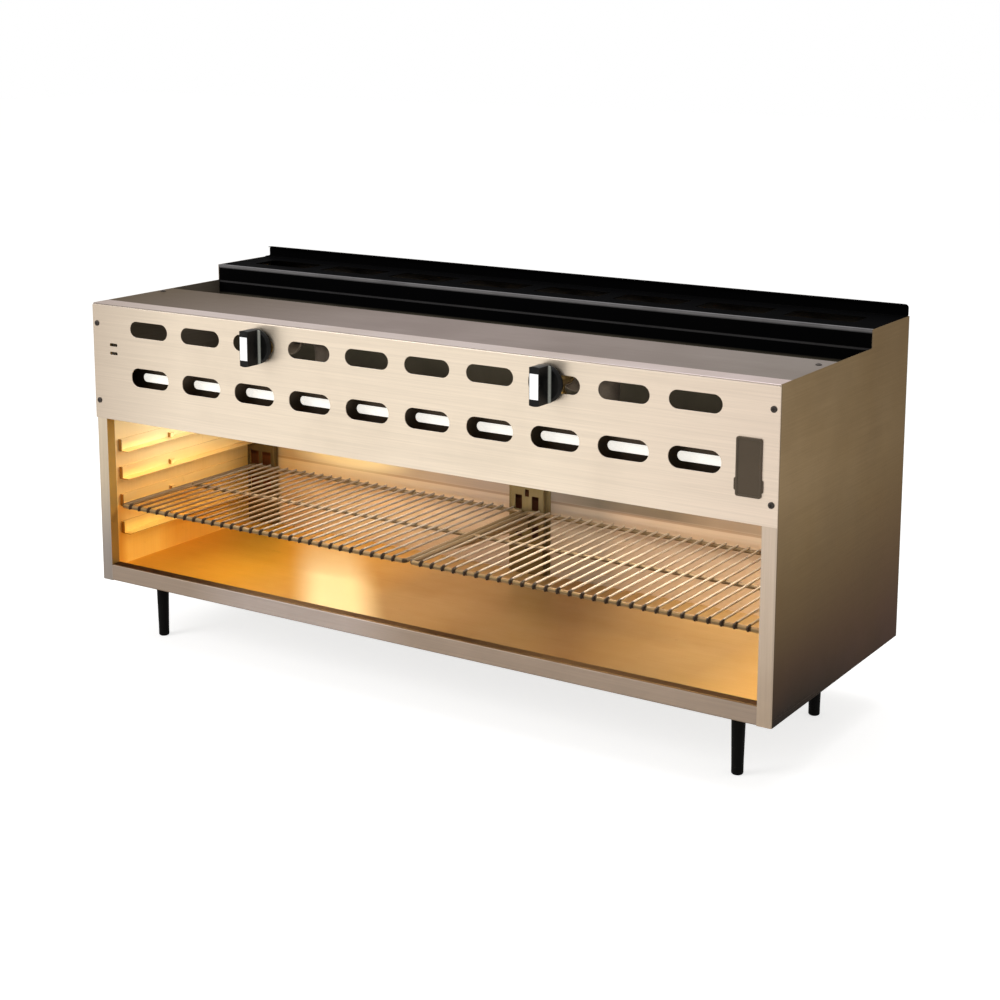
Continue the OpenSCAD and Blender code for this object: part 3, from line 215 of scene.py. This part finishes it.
class Paint:
    """A material made of nodes round one Principled shader.

    Masks run from 0 to 1. They are laid by object coordinates, which are
    the frame's own, so a tone stays on its piece when the piece moves.
    """

    def __init__(self, name, **values):
        self.material = bpy.data.materials.new(name)
        self.material.use_nodes = True
        self.tree = self.material.node_tree
        self.shader = self.tree.nodes["Principled BSDF"]
        for key, value in values.items():
            self.set(key.replace("_", " "), value)

    def feed(self, socket, value):
        """Links a socket to another, or sets its number, vector or colour."""
        if isinstance(value, bpy.types.NodeSocket):
            self.tree.links.new(value, socket)
        elif socket.type == "RGBA":
            socket.default_value = (*value, 1)
        else:
            socket.default_value = value

    def set(self, name, value):
        """Feeds one input of the shader, by its name in lower case."""
        for socket in self.shader.inputs:
            if socket.name.lower() == name:
                self.feed(socket, value)
                return
        raise KeyError(name)

    def node(self, kind, inputs, **settings):
        """Adds a node. Its inputs are given by name or by number."""
        made = self.tree.nodes.new("ShaderNode" + kind)
        for key, value in settings.items():
            setattr(made, key, value)
        for key, value in inputs.items():
            self.feed(made.inputs[key], value)
        return made

    def where(self):
        """The object coordinates."""
        return self.node("TexCoord", {}).outputs["Object"]

    def normal(self):
        return self.node("NewGeometry", {}).outputs["Normal"]

    def bevel(self, radius):
        """The normal, rounded over edges by a radius."""
        return self.node("Bevel", {"Radius": radius}, samples=4).outputs[0]

    def place(self, scale=(1, 1, 1)):
        """Object coordinates, stretched."""
        return self.node("Mapping", {"Vector": self.where(), "Scale": scale}).outputs[0]

    def axis(self, name):
        """One of the object coordinates, X, Y or Z."""
        return self.node("SeparateXYZ", {"Vector": self.where()}).outputs[name]

    def noise(self, scale, detail=2.0, rough=0.5):
        """Noise with one scale for each axis, in features per metre."""
        vector = self.place(scale if isinstance(scale, tuple) else (scale,) * 3)
        inputs = {"Vector": vector, "Scale": 1.0, "Detail": detail, "Roughness": rough}
        return self.node("TexNoise", inputs).outputs["Fac"]

    def fit(self, value, low, high, to_low=0.0, to_high=1.0):
        """The value's range low to high, mapped and clamped."""
        inputs = {"Value": value, "From Min": low, "From Max": high}
        inputs.update({"To Min": to_low, "To Max": to_high})
        return self.node("MapRange", inputs).outputs["Result"]

    def ramp(self, name, low, high, to_low=0.0, to_high=1.0):
        """From 0 at one value of an object coordinate to 1 at another."""
        return self.fit(self.axis(name), low, high, to_low, to_high)

    def band(self, name, low, high, soft=0.001):
        """1 between two values of an object coordinate."""
        at = self.axis(name)
        rise = self.fit(at, low - soft, low)
        return self.both(rise, self.fit(at, high, high + soft, 1.0, 0.0))

    def math(self, operation, a, b=0.0):
        return self.node("Math", {0: a, 1: b}, operation=operation).outputs[0]

    def both(self, a, b):
        """The product of two masks, or of a mask and its strength."""
        return self.math("MULTIPLY", a, b)

    def off_centre(self):
        """The distance from the cabinet's middle plane."""
        return self.math("ABSOLUTE", self.axis("X"))

    def mix(self, factor, a, b):
        """Colour a where the factor is 0, colour b where it is 1."""
        made = self.node("Mix", {0: factor, 6: a, 7: b}, data_type="RGBA")
        return made.outputs[2]

    def facing(self, axis, low, high):
        """1 where the surface faces along the axis, such as "+X" or "-Z"."""
        part = self.node("SeparateXYZ", {"Vector": self.normal()}).outputs[axis[1]]
        sign = 1.0 if axis[0] == "+" else -1.0
        return self.fit(self.math("MULTIPLY", part, sign), low, high)

    def spot(self, at, size, turn=0.0):
        """1 in the middle of a soft ellipsoid, 0 outside it."""
        inputs = {"Vector": self.where(), "Location": at, "Scale": size}
        inputs["Rotation"] = (0, 0, math.radians(turn))
        local = self.node("Mapping", inputs, vector_type="TEXTURE").outputs[0]
        length = self.node("VectorMath", {0: local}, operation="LENGTH")
        inputs = {"Value": length.outputs["Value"], "From Min": 1.0, "From Max": 0.25}
        made = self.node("MapRange", inputs, interpolation_type="SMOOTHSTEP")
        return made.outputs["Result"]

    def edges(self, radius):
        """1 on edges, 0 on flat faces."""
        inputs = {0: self.bevel(radius), 1: self.normal()}
        dot = self.node("VectorMath", inputs, operation="DOT_PRODUCT")
        return self.fit(dot.outputs["Value"], 0.98, 0.85)

    def colour(self):
        """The socket that feeds the base colour so far."""
        return self.shader.inputs["Base Color"].links[0].from_socket

    def cover(self, mask, colour):
        """Lays a colour over the base colour where the mask is 1."""
        self.set("base color", self.mix(mask, self.colour(), colour))

    def tone(self, mask, factor):
        """Multiplies the base colour by a factor where the mask is 1."""
        inputs = {0: 1.0, 6: self.colour(), 7: factor}
        product = self.node("Mix", inputs, data_type="RGBA", blend_type="MULTIPLY")
        self.cover(mask, product.outputs[2])

    def bump(self, height, strength, distance, radius=0.0):
        """Bump from a height; with a radius, edges are rounded too."""
        inputs = {"Height": height, "Strength": strength, "Distance": distance}
        made = self.node("Bump", inputs)
        if radius:
            self.feed(made.inputs["Normal"], self.bevel(radius))
        self.set("normal", made.outputs[0])


def shade(colour, factor):
    return tuple(channel * factor for channel in colour)


def grain_scale(axis, fine=420.0, along=5.0):
    """Noise scale for grain that runs along the axis."""
    return tuple(along if axis == name else fine for name in "xyz")


# ---- Sheet steel ----


def brushed(name, colour, axis, rough=0.34, edge=None):
    """Brushed sheet steel: fine grain, cloudy smudges and a painted highlight on its
    edges.
    """
    paint = Paint(name, metallic=0.9, specular_tint=edge or colour)
    grain = paint.noise(grain_scale(axis), 3.0, 0.7)
    coarse = paint.noise(grain_scale(axis, 90.0, 1.5), 2.0)
    cloud = paint.noise(5.0, 4.0, 0.6)
    fine = paint.fit(grain, 0.3, 0.7)
    paint.set("base color", paint.mix(fine, shade(colour, 0.92), shade(colour, 1.05)))
    paint.cover(paint.fit(coarse, 0.35, 0.75, 0.0, 0.18), shade(colour, 0.8))
    paint.cover(paint.fit(cloud, 0.5, 0.8, 0.0, 0.35), shade(colour, 0.72))
    # Painted highlight: the edges are lightened as if they caught the light.
    bright = tuple(min(1.0, channel * 1.2 + 0.02) for channel in colour)
    paint.cover(paint.both(paint.edges(0.0012), 0.35), bright)
    paint.set("roughness", paint.fit(cloud, 0.3, 0.8, rough - 0.05, rough + 0.14))
    paint.bump(grain, 0.14, 0.0004, 0.0008)
    return paint


def front_steel():
    """The valve panel: painted shade towards its ends and along its bend, and painted
    light on its top flange.
    """
    paint = brushed("valve_panel_steel", (0.71, 0.605, 0.48), "x")
    # Painted shade towards both ends, most at the left.
    paint.tone(paint.ramp("X", -0.42, -0.62), (0.72, 0.70, 0.70))
    paint.tone(paint.ramp("X", 0.25, 0.62), (0.93, 0.90, 0.92))
    # Painted light on the top flange, and painted shade along the bend below it.
    flange = paint.facing("+Z", 0.8, 0.95)
    bend = paint.math("SUBTRACT", paint.facing("+Z", 0.1, 0.4), flange)
    paint.tone(flange, (0.90, 0.96, 1.25))
    paint.tone(bend, (0.42, 0.42, 0.45))
    return paint


def side_steel(name, colour, outward, foot):
    """A side panel: beige stile, amber return, and a flank painted dark brown as shade.

    The flank's painted shade is darkest at its foot. The stile's painted shade there is
    the tone "foot".
    """
    paint = brushed(name, colour, "z", edge=(0.35, 0.28, 0.20))
    # Painted shade on the stile, darker towards the bottom.
    paint.tone(paint.ramp("Z", 0.38, 0.12), (0.65, 0.62, 0.58))
    paint.tone(paint.ramp("Z", 0.27, 0.16), foot)
    stile = paint.colour()

    grain = paint.noise(grain_scale("y"), 3.0, 0.7)
    cloud = paint.noise(6.0, 4.0, 0.6)
    # The flank is painted dark brown as shade: darkest low at the front, lighter higher
    # up.
    back = paint.ramp("Y", FRONT_Y, -FRONT_Y)
    low = paint.mix(back, (0.009, 0.007, 0.003), (0.056, 0.039, 0.021))
    high = paint.mix(back, (0.30, 0.220, 0.135), (0.22, 0.162, 0.10))
    flank = paint.mix(paint.ramp("Z", 0.10, 0.42), low, high)
    streaks = paint.fit(grain, 0.3, 0.8, 0.0, 0.25)
    flank = paint.mix(streaks, flank, (0.06, 0.045, 0.022))
    smudges = paint.fit(cloud, 0.45, 0.75, 0.0, 0.25)
    flank = paint.mix(smudges, flank, (0.11, 0.075, 0.04))
    # Painted shadow: a dark line along the flank's front edge.
    corner = paint.band("Y", FRONT_Y + 0.0012, FRONT_Y + 0.0035)
    flank = paint.mix(paint.both(corner, 0.6), flank, (0.03, 0.02, 0.01))

    near = paint.ramp("Y", FRONT_Y + STILE_D, FRONT_Y + STILE_D - 0.002)
    fine = paint.fit(grain, 0.3, 0.8)
    inner = paint.mix(fine, (0.17, 0.14, 0.11), (0.22, 0.19, 0.15))
    lower = paint.ramp("Z", 0.27, 0.19)
    amber = paint.mix(lower, (0.44, 0.29, 0.085), (0.28, 0.19, 0.06))
    inner = paint.mix(near, inner, amber)

    sides = paint.mix(paint.facing(outward, 0.6, 0.9), inner, flank)
    on_top, on_front = paint.facing("+Z", 0.5, 0.8), paint.facing("-Y", 0.5, 0.8)
    sides = paint.mix(paint.math("MAXIMUM", on_top, on_front), sides, flank)
    front = paint.both(near, paint.facing("-Y", 0.3, 0.6))
    paint.set("base color", paint.mix(front, sides, stile))
    inward = {"+X": "-X", "-X": "+X"}[outward]
    paint.set("metallic", paint.fit(paint.facing(inward, 0.6, 0.9), 0.0, 1.0, 0.8, 0.6))
    return paint


def rail_steel():
    """The bottom rail, with painted light to the left of its middle and painted shade
    on its top.
    """
    paint = brushed("rail_steel", (0.267, 0.207, 0.160), "x")
    # Painted light left of the middle, and painted shade on the top face.
    paint.tone(paint.band("X", -0.30, -0.10, 0.12), (1.30, 1.40, 1.60))
    paint.tone(paint.facing("+Z", 0.35, 0.75), (0.42, 0.33, 0.22))
    return paint


def top_steel():
    """The top panel, with painted shade towards both ends, most at the left."""
    paint = brushed("top_steel", (0.355, 0.305, 0.285), "x", 0.42)
    paint.tone(paint.ramp("X", -0.1, -0.6), (0.44, 0.42, 0.32))
    paint.tone(paint.ramp("X", 0.1, 0.6), (0.80, 0.84, 0.82))
    return paint


def case_steel():
    """Mill-finished sheet of the case, darker on its faces that look to the front."""
    paint = brushed("mill_steel", (0.34, 0.32, 0.29), "x", 0.45)
    paint.tone(paint.facing("-Y", 0.5, 0.8), (0.10, 0.09, 0.08))
    return paint


# ---- Steel tinted by heat, in the cavity ----


def heat_steel(name, axis, pale, gold, spotted=0.4):
    """Liner steel, tinted to straw and gold by the burners' heat."""
    paint = Paint(name, metallic=0.6, specular_tint=pale)
    grain = paint.noise(grain_scale(axis, 300.0, 4.0), 3.0, 0.7)
    cloud = paint.noise((3.0, 5.0, 6.0), 4.0, 0.6)
    spots = paint.noise(45.0, 3.0, 0.65)
    paint.set("base color", paint.mix(paint.fit(cloud, 0.35, 0.65), pale, gold))
    paint.cover(paint.fit(grain, 0.4, 0.8, 0.0, 0.25), shade(gold, 0.75))
    paint.cover(paint.fit(spots, 0.66, 0.85, 0.0, spotted), (0.20, 0.10, 0.03))
    paint.set("roughness", paint.fit(cloud, 0.3, 0.8, 0.30, 0.48))
    paint.bump(grain, 0.16, 0.0004, 0.0006)
    return paint


def wall_steel(name, axis):
    """A side liner or its guides: orange gold, painted pale straw above as lit by the
    burners.
    """
    paint = heat_steel(name, axis, (0.92, 0.70, 0.36), (0.89, 0.63, 0.27), 0.25)
    # Painted light from the burners above: paler towards the top.
    paint.cover(paint.both(paint.ramp("Z", 0.28, 0.37), 0.8), (0.95, 0.91, 0.68))
    paint.tone(paint.ramp("Z", 0.28, 0.15), (0.97, 0.84, 0.36))

    # Painted light low down a little behind the front, and painted shade low at the
    # front, beside the stile's return.
    low = paint.ramp("Z", 0.22, 0.18)
    near = paint.band("Y", FRONT_Y + 0.05, FRONT_Y + 0.12, 0.05)
    paint.tone(paint.both(low, near), (1.1, 1.35, 1.9))
    front = paint.ramp("Y", FRONT_Y + 0.05, FRONT_Y + 0.035)
    paint.tone(paint.both(low, front), (0.84, 0.70, 0.50))

    # Painted light high up in the middle of the wall.
    upper = paint.ramp("Z", 0.24, 0.27)
    middle = paint.band("Y", FRONT_Y + 0.13, FRONT_Y + 0.29, 0.07)
    paint.tone(paint.both(upper, middle), (1.03, 1.13, 1.25))
    back = paint.ramp("Y", FRONT_Y + 0.30, FRONT_Y + 0.37)
    soot = paint.both(back, paint.ramp("Z", 0.27, 0.24))
    paint.tone(soot, (0.62, 0.52, 0.35))
    return paint


def guide_steel():
    """The rack guides, with painted shade on front ends, undersides and edges."""
    paint = wall_steel("guide_steel", "y")
    # Painted shade: front ends and undersides dark brown, and the edges darker too.
    for side in ("-Y", "-Z"):
        paint.tone(paint.facing(side, 0.6, 0.9), (0.40, 0.26, 0.12))
    paint.tone(paint.both(paint.edges(0.0016), 0.8), (0.34, 0.22, 0.10))
    return paint


def floor_steel():
    """The cavity floor: gold, with painted light and shade, and a painted reflection in
    a bright patch.
    """
    paint = heat_steel("floor_steel", "x", (0.42, 0.27, 0.125), (0.37, 0.22, 0.085))
    # Painted light and shade: golden at the left, duller right of the middle, then
    # darker and much lighter in bands across the right, golden at the far right.
    paint.tone(paint.ramp("X", -0.12, -0.40), (1.9, 1.48, 0.34))
    paint.tone(paint.ramp("X", -0.05, 0.15), (0.78, 0.76, 0.74))

    sideways = paint.math("MULTIPLY", paint.axis("X"), LEAN_COS)
    depth = paint.math("SUBTRACT", paint.axis("Y"), FRONT_Y)
    across = paint.math("ADD", sideways, paint.math("MULTIPLY", depth, LEAN_SIN))
    paint.tone(paint.fit(across, 0.18, 0.24), (0.76, 0.71, 0.69))
    paint.tone(paint.fit(across, 0.26, 0.52), (2.45, 3.0, 3.2))
    paint.tone(paint.ramp("X", 0.45, 0.56), (1.55, 1.5, 1.25))

    # Painted reflection: a bright patch at the front left, fading towards the back.
    patch = paint.spot((-0.195, FRONT_Y + 0.10, 0.12), (1.6, 0.078, 0.5), -50.3)
    fade = paint.ramp("Y", FRONT_Y + 0.17, FRONT_Y + 0.36, 1.0, 0.2)
    paint.cover(paint.both(patch, fade), (0.98, 0.80, 0.46))
    return paint


def rear_steel():
    """The rear wall: gold at the left, tan elsewhere, with a painted highlight and
    painted shadow beside the posts.
    """
    paint = heat_steel("rear_steel", "x", (0.46, 0.37, 0.31), (0.41, 0.32, 0.245))
    paint.tone(paint.ramp("X", -0.1, -0.45), (1.65, 1.60, 1.15))
    low_left = paint.both(paint.ramp("Z", 0.19, 0.17), paint.ramp("X", 0.0, -0.05))
    paint.tone(low_left, (0.84, 0.86, 0.92))
    paint.tone(paint.ramp("X", 0.0, 0.30), (1.36, 1.34, 1.24))
    paint.tone(paint.ramp("X", 0.38, 0.55), (1.20, 1.28, 1.25))
    paint.tone(paint.band("X", 0.03, 0.13, 0.05), (0.72, 0.77, 0.80))

    # The wall above its seam is duller, most of all right of the middle.
    upper = paint.ramp("Z", SEAM_Z, SEAM_Z + 0.004)
    paint.tone(upper, (0.72, 0.73, 0.76))
    right = paint.both(upper, paint.ramp("X", 0.05, 0.25))
    paint.tone(right, (0.80, 0.76, 0.70))
    shaded = paint.both(upper, paint.band("X", 0.13, 0.26, 0.08))
    paint.tone(shaded, (0.60, 0.63, 0.62))
    paint.tone(paint.ramp("X", -0.45, -0.50), (0.86, 0.80, 0.68))
    seam = paint.band("Z", SEAM_Z - 0.0015, SEAM_Z + 0.0015)
    paint.tone(paint.both(seam, 0.6), (0.45, 0.36, 0.30))

    # Painted highlight: a glint high on the left.
    glint = paint.spot((-0.37, -FRONT_Y, 0.262), (0.15, 1.0, 0.026))
    paint.cover(paint.both(glint, 0.65), (0.98, 0.86, 0.50))
    # Painted shadow beside the corner posts and behind the middle post.
    off = paint.off_centre()
    corner = paint.fit(off, POSTS_X - 0.066, POSTS_X - 0.060)
    hidden = paint.math("MAXIMUM", corner, paint.fit(off, 0.034, 0.031))
    paint.tone(hidden, (0.20, 0.09, 0.06))
    return paint


def post_steel():
    """The slotted posts, burnt brown; the middle one is paler on top."""
    pale, gold = (0.115, 0.085, 0.040), (0.085, 0.058, 0.022)
    paint = heat_steel("post_steel", "z", pale, gold, 0.2)
    middle = paint.fit(paint.off_centre(), 0.06, 0.05)
    paint.tone(paint.both(middle, paint.ramp("Z", 0.20, 0.24)), (1.65, 1.8, 2.1))
    return paint


# ---- Enamel, iron, wire and small parts ----


def enamel(name, colour, chips=(0.03, 0.029, 0.027), sheen=0.06):
    """Baked black enamel with dust and scuffed edges."""
    paint = Paint(name, specular_ior_level=sheen)
    dust = paint.noise(9.0, 5.0, 0.65)
    peel = paint.noise(260.0, 2.0)
    dusty = paint.fit(dust, 0.5, 0.85, 0.0, 0.35)
    paint.set("base color", paint.mix(dusty, colour, shade(chips, 0.2)))
    paint.cover(paint.both(paint.edges(0.0012), 0.4), chips)
    paint.set("roughness", paint.fit(dust, 0.3, 0.8, 0.48, 0.70))
    paint.bump(peel, 0.12, 0.0003, 0.0008)
    return paint


def flue_enamel():
    """Black enamel, sooty inside, with a painted highlight along its front top edge."""
    paint = enamel("flue_enamel", (0.0018, 0.0018, 0.002), (0.02, 0.019, 0.018), 0.0008)
    inside = paint.ramp("Z", TOP_Z - 0.020, TOP_Z - 0.026)
    mottle = paint.noise(12.0, 3.0)
    soot = paint.mix(mottle, (0.035, 0.033, 0.024), (0.14, 0.122, 0.092))
    paint.cover(inside, soot)

    # Painted highlight: a grey band along the front top edge; a grey line marks the
    # seam.
    low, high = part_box("flue_top")
    edge = paint.band("Y", low.y - 0.003, low.y + 0.0050, 0.0015)
    edge_highlight = paint.both(edge, paint.band("Z", high.z - 0.003, high.z + 0.001, 0.003))
    seam = paint.both(paint.band("Z", TOP_Z - 0.003, TOP_Z - 0.001), 0.2)
    patches = paint.fit(paint.noise(14.0, 3.0), 0.1, 0.5, 0.5)
    highlight_and_seam = paint.both(paint.math("MAXIMUM", edge_highlight, seam), patches)
    paint.cover(highlight_and_seam, (0.19, 0.185, 0.19))
    return paint


def cast(name, colour):
    """Dark iron with a sandy skin and a little rust."""
    paint = Paint(name, metallic=0.4)
    sand = paint.noise(420.0, 3.0, 0.6)
    patch = paint.noise(22.0, 4.0, 0.6)
    pale = paint.fit(patch, 0.4, 0.75)
    paint.set("base color", paint.mix(pale, colour, shade(colour, 1.7)))
    paint.cover(paint.fit(patch, 0.66, 0.8, 0.0, 0.5), (0.16, 0.07, 0.03))
    paint.set("roughness", paint.fit(sand, 0.3, 0.7, 0.52, 0.74))
    paint.bump(sand, 0.35, 0.0006, 0.0006)
    return paint


def plated(name, colour, rough, tint=(0.45, 0.28, 0.1), tinted=0.4, metal=1.0):
    """Plated wire or trim, clouded and browned in patches by heat."""
    paint = Paint(name, metallic=metal, specular_ior_level=0.2)
    cloud = paint.noise(30.0, 3.0, 0.6)
    fine = paint.noise(600.0, 2.0)
    browned = paint.fit(cloud, 0.45, 0.8, 0.0, tinted)
    paint.set("base color", paint.mix(browned, colour, tint))
    paint.set("roughness", paint.fit(cloud, 0.3, 0.8, rough - 0.06, rough + 0.16))
    paint.bump(fine, 0.06, 0.0002)
    return paint


def rack_wire():
    """Rack wire, browned by heat: dark rim rods, with painted shade on the wire ends.
    """
    paint = plated("rack_wire", (0.23, 0.19, 0.15), 0.55, (0.16, 0.115, 0.07), 0.7, 0.3)
    paint.tone(paint.ramp("X", 0.0, 0.25), (1.75, 1.85, 1.95))
    paint.tone(paint.band("X", -0.28, -0.06, 0.06), (1.25, 1.35, 1.5))
    near = paint.ramp("Y", RACK_Y + 0.26, RACK_Y + 0.10)
    near_left = paint.both(paint.ramp("X", -0.20, -0.42), near)
    paint.tone(near_left, (0.50, 0.32, 0.14))
    low = paint.ramp("Z", RIM_TOP_Z + SHARP, RIM_TOP_Z - SHARP)
    paint.cover(low, (0.14, 0.098, 0.055))

    # The front rim is painted amber between the wires as lit, with painted shade where
    # they join it.
    offset = paint.math("SUBTRACT", paint.off_centre(), WIRE_X)
    gaps = paint.math("DIVIDE", offset, WIRE_STEP)
    from_gap = paint.math("SUBTRACT", paint.math("FRACT", gaps), 0.5)
    joint = paint.fit(paint.math("ABSOLUTE", from_gap), 0.28, 0.36)
    rim = paint.mix(joint, (0.33, 0.21, 0.09), (0.045, 0.028, 0.014))
    front = paint.ramp("Y", RACK_Y + 0.010, RACK_Y + 0.008)
    paint.cover(paint.both(low, front), rim)

    # Painted shade on the wires' ends, where they wrap over the rim and down its face.
    high = paint.ramp("Z", RIM_TOP_Z - SHARP, RIM_TOP_Z + SHARP)
    over = paint.both(high, paint.ramp("Y", RACK_Y + 0.0095, RACK_Y + 0.0075))
    face = paint.ramp("Y", RACK_Y + 0.0032, RACK_Y + 0.0024)
    patches = paint.fit(paint.noise(25.0), 0.3, 0.6, 0.75)
    wrapped = paint.both(paint.math("MAXIMUM", over, face), patches)
    paint.cover(wrapped, (0.030, 0.018, 0.010))
    return paint


def turned(name, colour, rough=0.3):
    """Machined metal with fine tool marks."""
    paint = Paint(name, metallic=1.0)
    marks = paint.noise((700.0, 60.0, 700.0), 2.0)
    cloud = paint.noise(40.0, 3.0)
    dull = paint.fit(cloud, 0.35, 0.8, 0.0, 0.6)
    paint.set("base color", paint.mix(dull, colour, shade(colour, 0.55)))
    paint.set("roughness", paint.fit(cloud, 0.3, 0.8, rough - 0.08, rough + 0.15))
    paint.bump(marks, 0.15, 0.0003, 0.0004)
    return paint


def blanket():
    """White mineral blanket, soft and uneven, with a painted glow for the burners'
    light on it.
    """
    paint = Paint("blanket", roughness=0.95, specular_ior_level=0.1)
    felt = paint.noise((90.0, 200.0, 140.0), 5.0, 0.7)
    tone = paint.mix(paint.fit(felt, 0.3, 0.7), (0.84, 0.82, 0.76), (0.96, 0.95, 0.92))
    paint.set("base color", tone)
    # Painted light: the blanket glows though it is no lamp.
    paint.set("emission color", (1.0, 0.97, 0.90))
    paint.set("emission strength", 0.70)
    paint.bump(felt, 0.6, 0.004)
    return paint


def burning_tile():
    """Perforated ceramic, glowing from the flames in its fine holes."""
    paint = Paint("ceramic", roughness=0.9)
    inputs = {"Vector": paint.place(), "Scale": 260.0, "Randomness": 0.15}
    holes = paint.node("TexVoronoi", inputs).outputs["Distance"]
    between = paint.fit(holes, 0.25, 0.4)
    paint.set("base color", paint.mix(between, (0.25, 0.06, 0.02), (0.9, 0.5, 0.28)))
    uneven = paint.fit(paint.noise(14.0, 3.0), 0.3, 0.7)
    glow = paint.mix(uneven, (1.0, 0.40, 0.13), (1.0, 0.56, 0.24))
    paint.set("emission color", glow)
    paint.set("emission strength", 1.3)
    paint.bump(between, 0.5, 0.001)
    return paint


def phenolic():
    """Moulded black phenolic, slightly greasy, with a painted highlight on the bar's
    flanks at its foot.
    """
    paint = Paint("phenolic", specular_ior_level=0.12)
    grime = paint.noise(60.0, 4.0, 0.6)
    greasy = paint.fit(grime, 0.4, 0.8)
    paint.set("base color", paint.mix(greasy, (0.004,) * 3, (0.014, 0.013, 0.012)))
    paint.cover(paint.both(paint.edges(0.001), 0.3), (0.06,) * 3)

    # The grip bar flares where it meets the skirt: a painted highlight on its flanks
    # there.
    off = paint.math("ABSOLUTE", paint.math("SUBTRACT", paint.off_centre(), KNOB_X))
    flare = paint.both(paint.fit(off, 0.0082, 0.0092), paint.fit(off, 0.0128, 0.0121))
    foot = paint.band("Y", SKIRT_Y - 0.0049, SKIRT_Y - 0.0003, 0.0003)
    paint.cover(paint.both(flare, foot), (0.42, 0.44, 0.40))
    paint.set("roughness", paint.fit(grime, 0.3, 0.8, 0.30, 0.48))
    paint.bump(paint.noise(500.0, 2.0), 0.06, 0.0002, 0.0012)
    return paint


# ---- Which piece wears what ----


def dress(paint, *names):
    """Gives CAD nodes one material."""
    for name in names:
        slots = cad[name].material_slots
        if not slots:
            cad[name].data.materials.append(paint.material)
        for slot in slots:
            slot.material = paint.material


def dress_case():
    dress(front_steel(), "valve_panel")
    left = side_steel("left_steel", (0.58, 0.485, 0.365), "-X", (0.66, 0.71, 0.88))
    right = side_steel("right_steel", (0.56, 0.455, 0.36), "+X", (1, 1, 1))
    dress(left, "left_side_panel")
    dress(right, "right_side_panel")
    dress(rail_steel(), "bottom_rail")
    dress(top_steel(), "top_panel")
    case = ("base_panel", "rear_panel", "leg_plates", "manifold_brackets")
    dress(case_steel(), *case)


def dress_cavity():
    # The baffle is painted near black as shade, for a sheet that stands in shade behind
    # the valve panel.
    pale, gold = (0.060, 0.045, 0.032), (0.045, 0.032, 0.020)
    dress(heat_steel("baffle_steel", "x", pale, gold), "burner_baffle")
    deck = heat_steel("deck_steel", "x", (0.40, 0.29, 0.17), (0.30, 0.19, 0.09))
    dress(deck, "burner_deck", "centre_support")
    dress(rear_steel(), "rear_liner")
    dress(floor_steel(), "cavity_floor")
    dress(wall_steel("wall_steel", "z"), "left_liner", "right_liner")
    dress(guide_steel(), "rack_guides_left", "rack_guides_right")
    dress(post_steel(), "centre_post", "corner_posts")


def dress_fittings():
    dress(flue_enamel(), "flue_front", "flue_top", "flue_riser")
    black = enamel("leg_enamel", (0.0045, 0.0042, 0.004), sheen=0.04)
    dress(black, "legs", "foot_front_left", "foot_front_right")
    dress(black, "foot_rear_left", "foot_rear_right", "knob_bezels")
    dress(blanket(), "front_insulation", "cavity_insulation")
    burner = ("burner_left", "burner_right", "venturi_left", "venturi_right")
    dress(cast("burner_iron", (0.115, 0.093, 0.076)), *burner)
    pipe = ("gas_manifold", "manifold_cap", "supply_pipe")
    dress(cast("pipe_iron", (0.13, 0.105, 0.08)), *pipe)
    dress(burning_tile(), "burner_tiles_left", "burner_tiles_right")
    dress(rack_wire(), "rack_left", "rack_right")
    screen = plated("screen_wire", (0.35, 0.30, 0.26), 0.45)
    dress(screen, "burner_screen_left", "burner_screen_right")
    brass = turned("brass", (0.66, 0.47, 0.20))
    dress(brass, "gas_inlet", "valve_left", "valve_right", "orifices", "pilots")
    dress(brass, "valve_stem_left", "valve_stem_right")
    dress(turned("tube", (0.62, 0.62, 0.63), 0.35), "pilot_tubes")
    dress(phenolic(), "knob_left", "knob_right")
    trim = plated("knob_trim", (0.88, 0.88, 0.88), 0.3, (0.7, 0.7, 0.7), 0.3)
    dress(trim, "knob_insert_left", "knob_insert_right")
    badge = enamel("badge_enamel", (0.115, 0.088, 0.062), (0.30, 0.26, 0.21))
    dress(badge, "badge_plate")
    dress(cast("screw_steel", (0.035, 0.027, 0.022)), "panel_screws", "case_screws")


make_camera()
make_world()
make_floor()
make_lamps()
dress_case()
dress_cavity()
dress_fittings()

scene = bpy.context.scene
scene.view_settings.view_transform = "Standard"
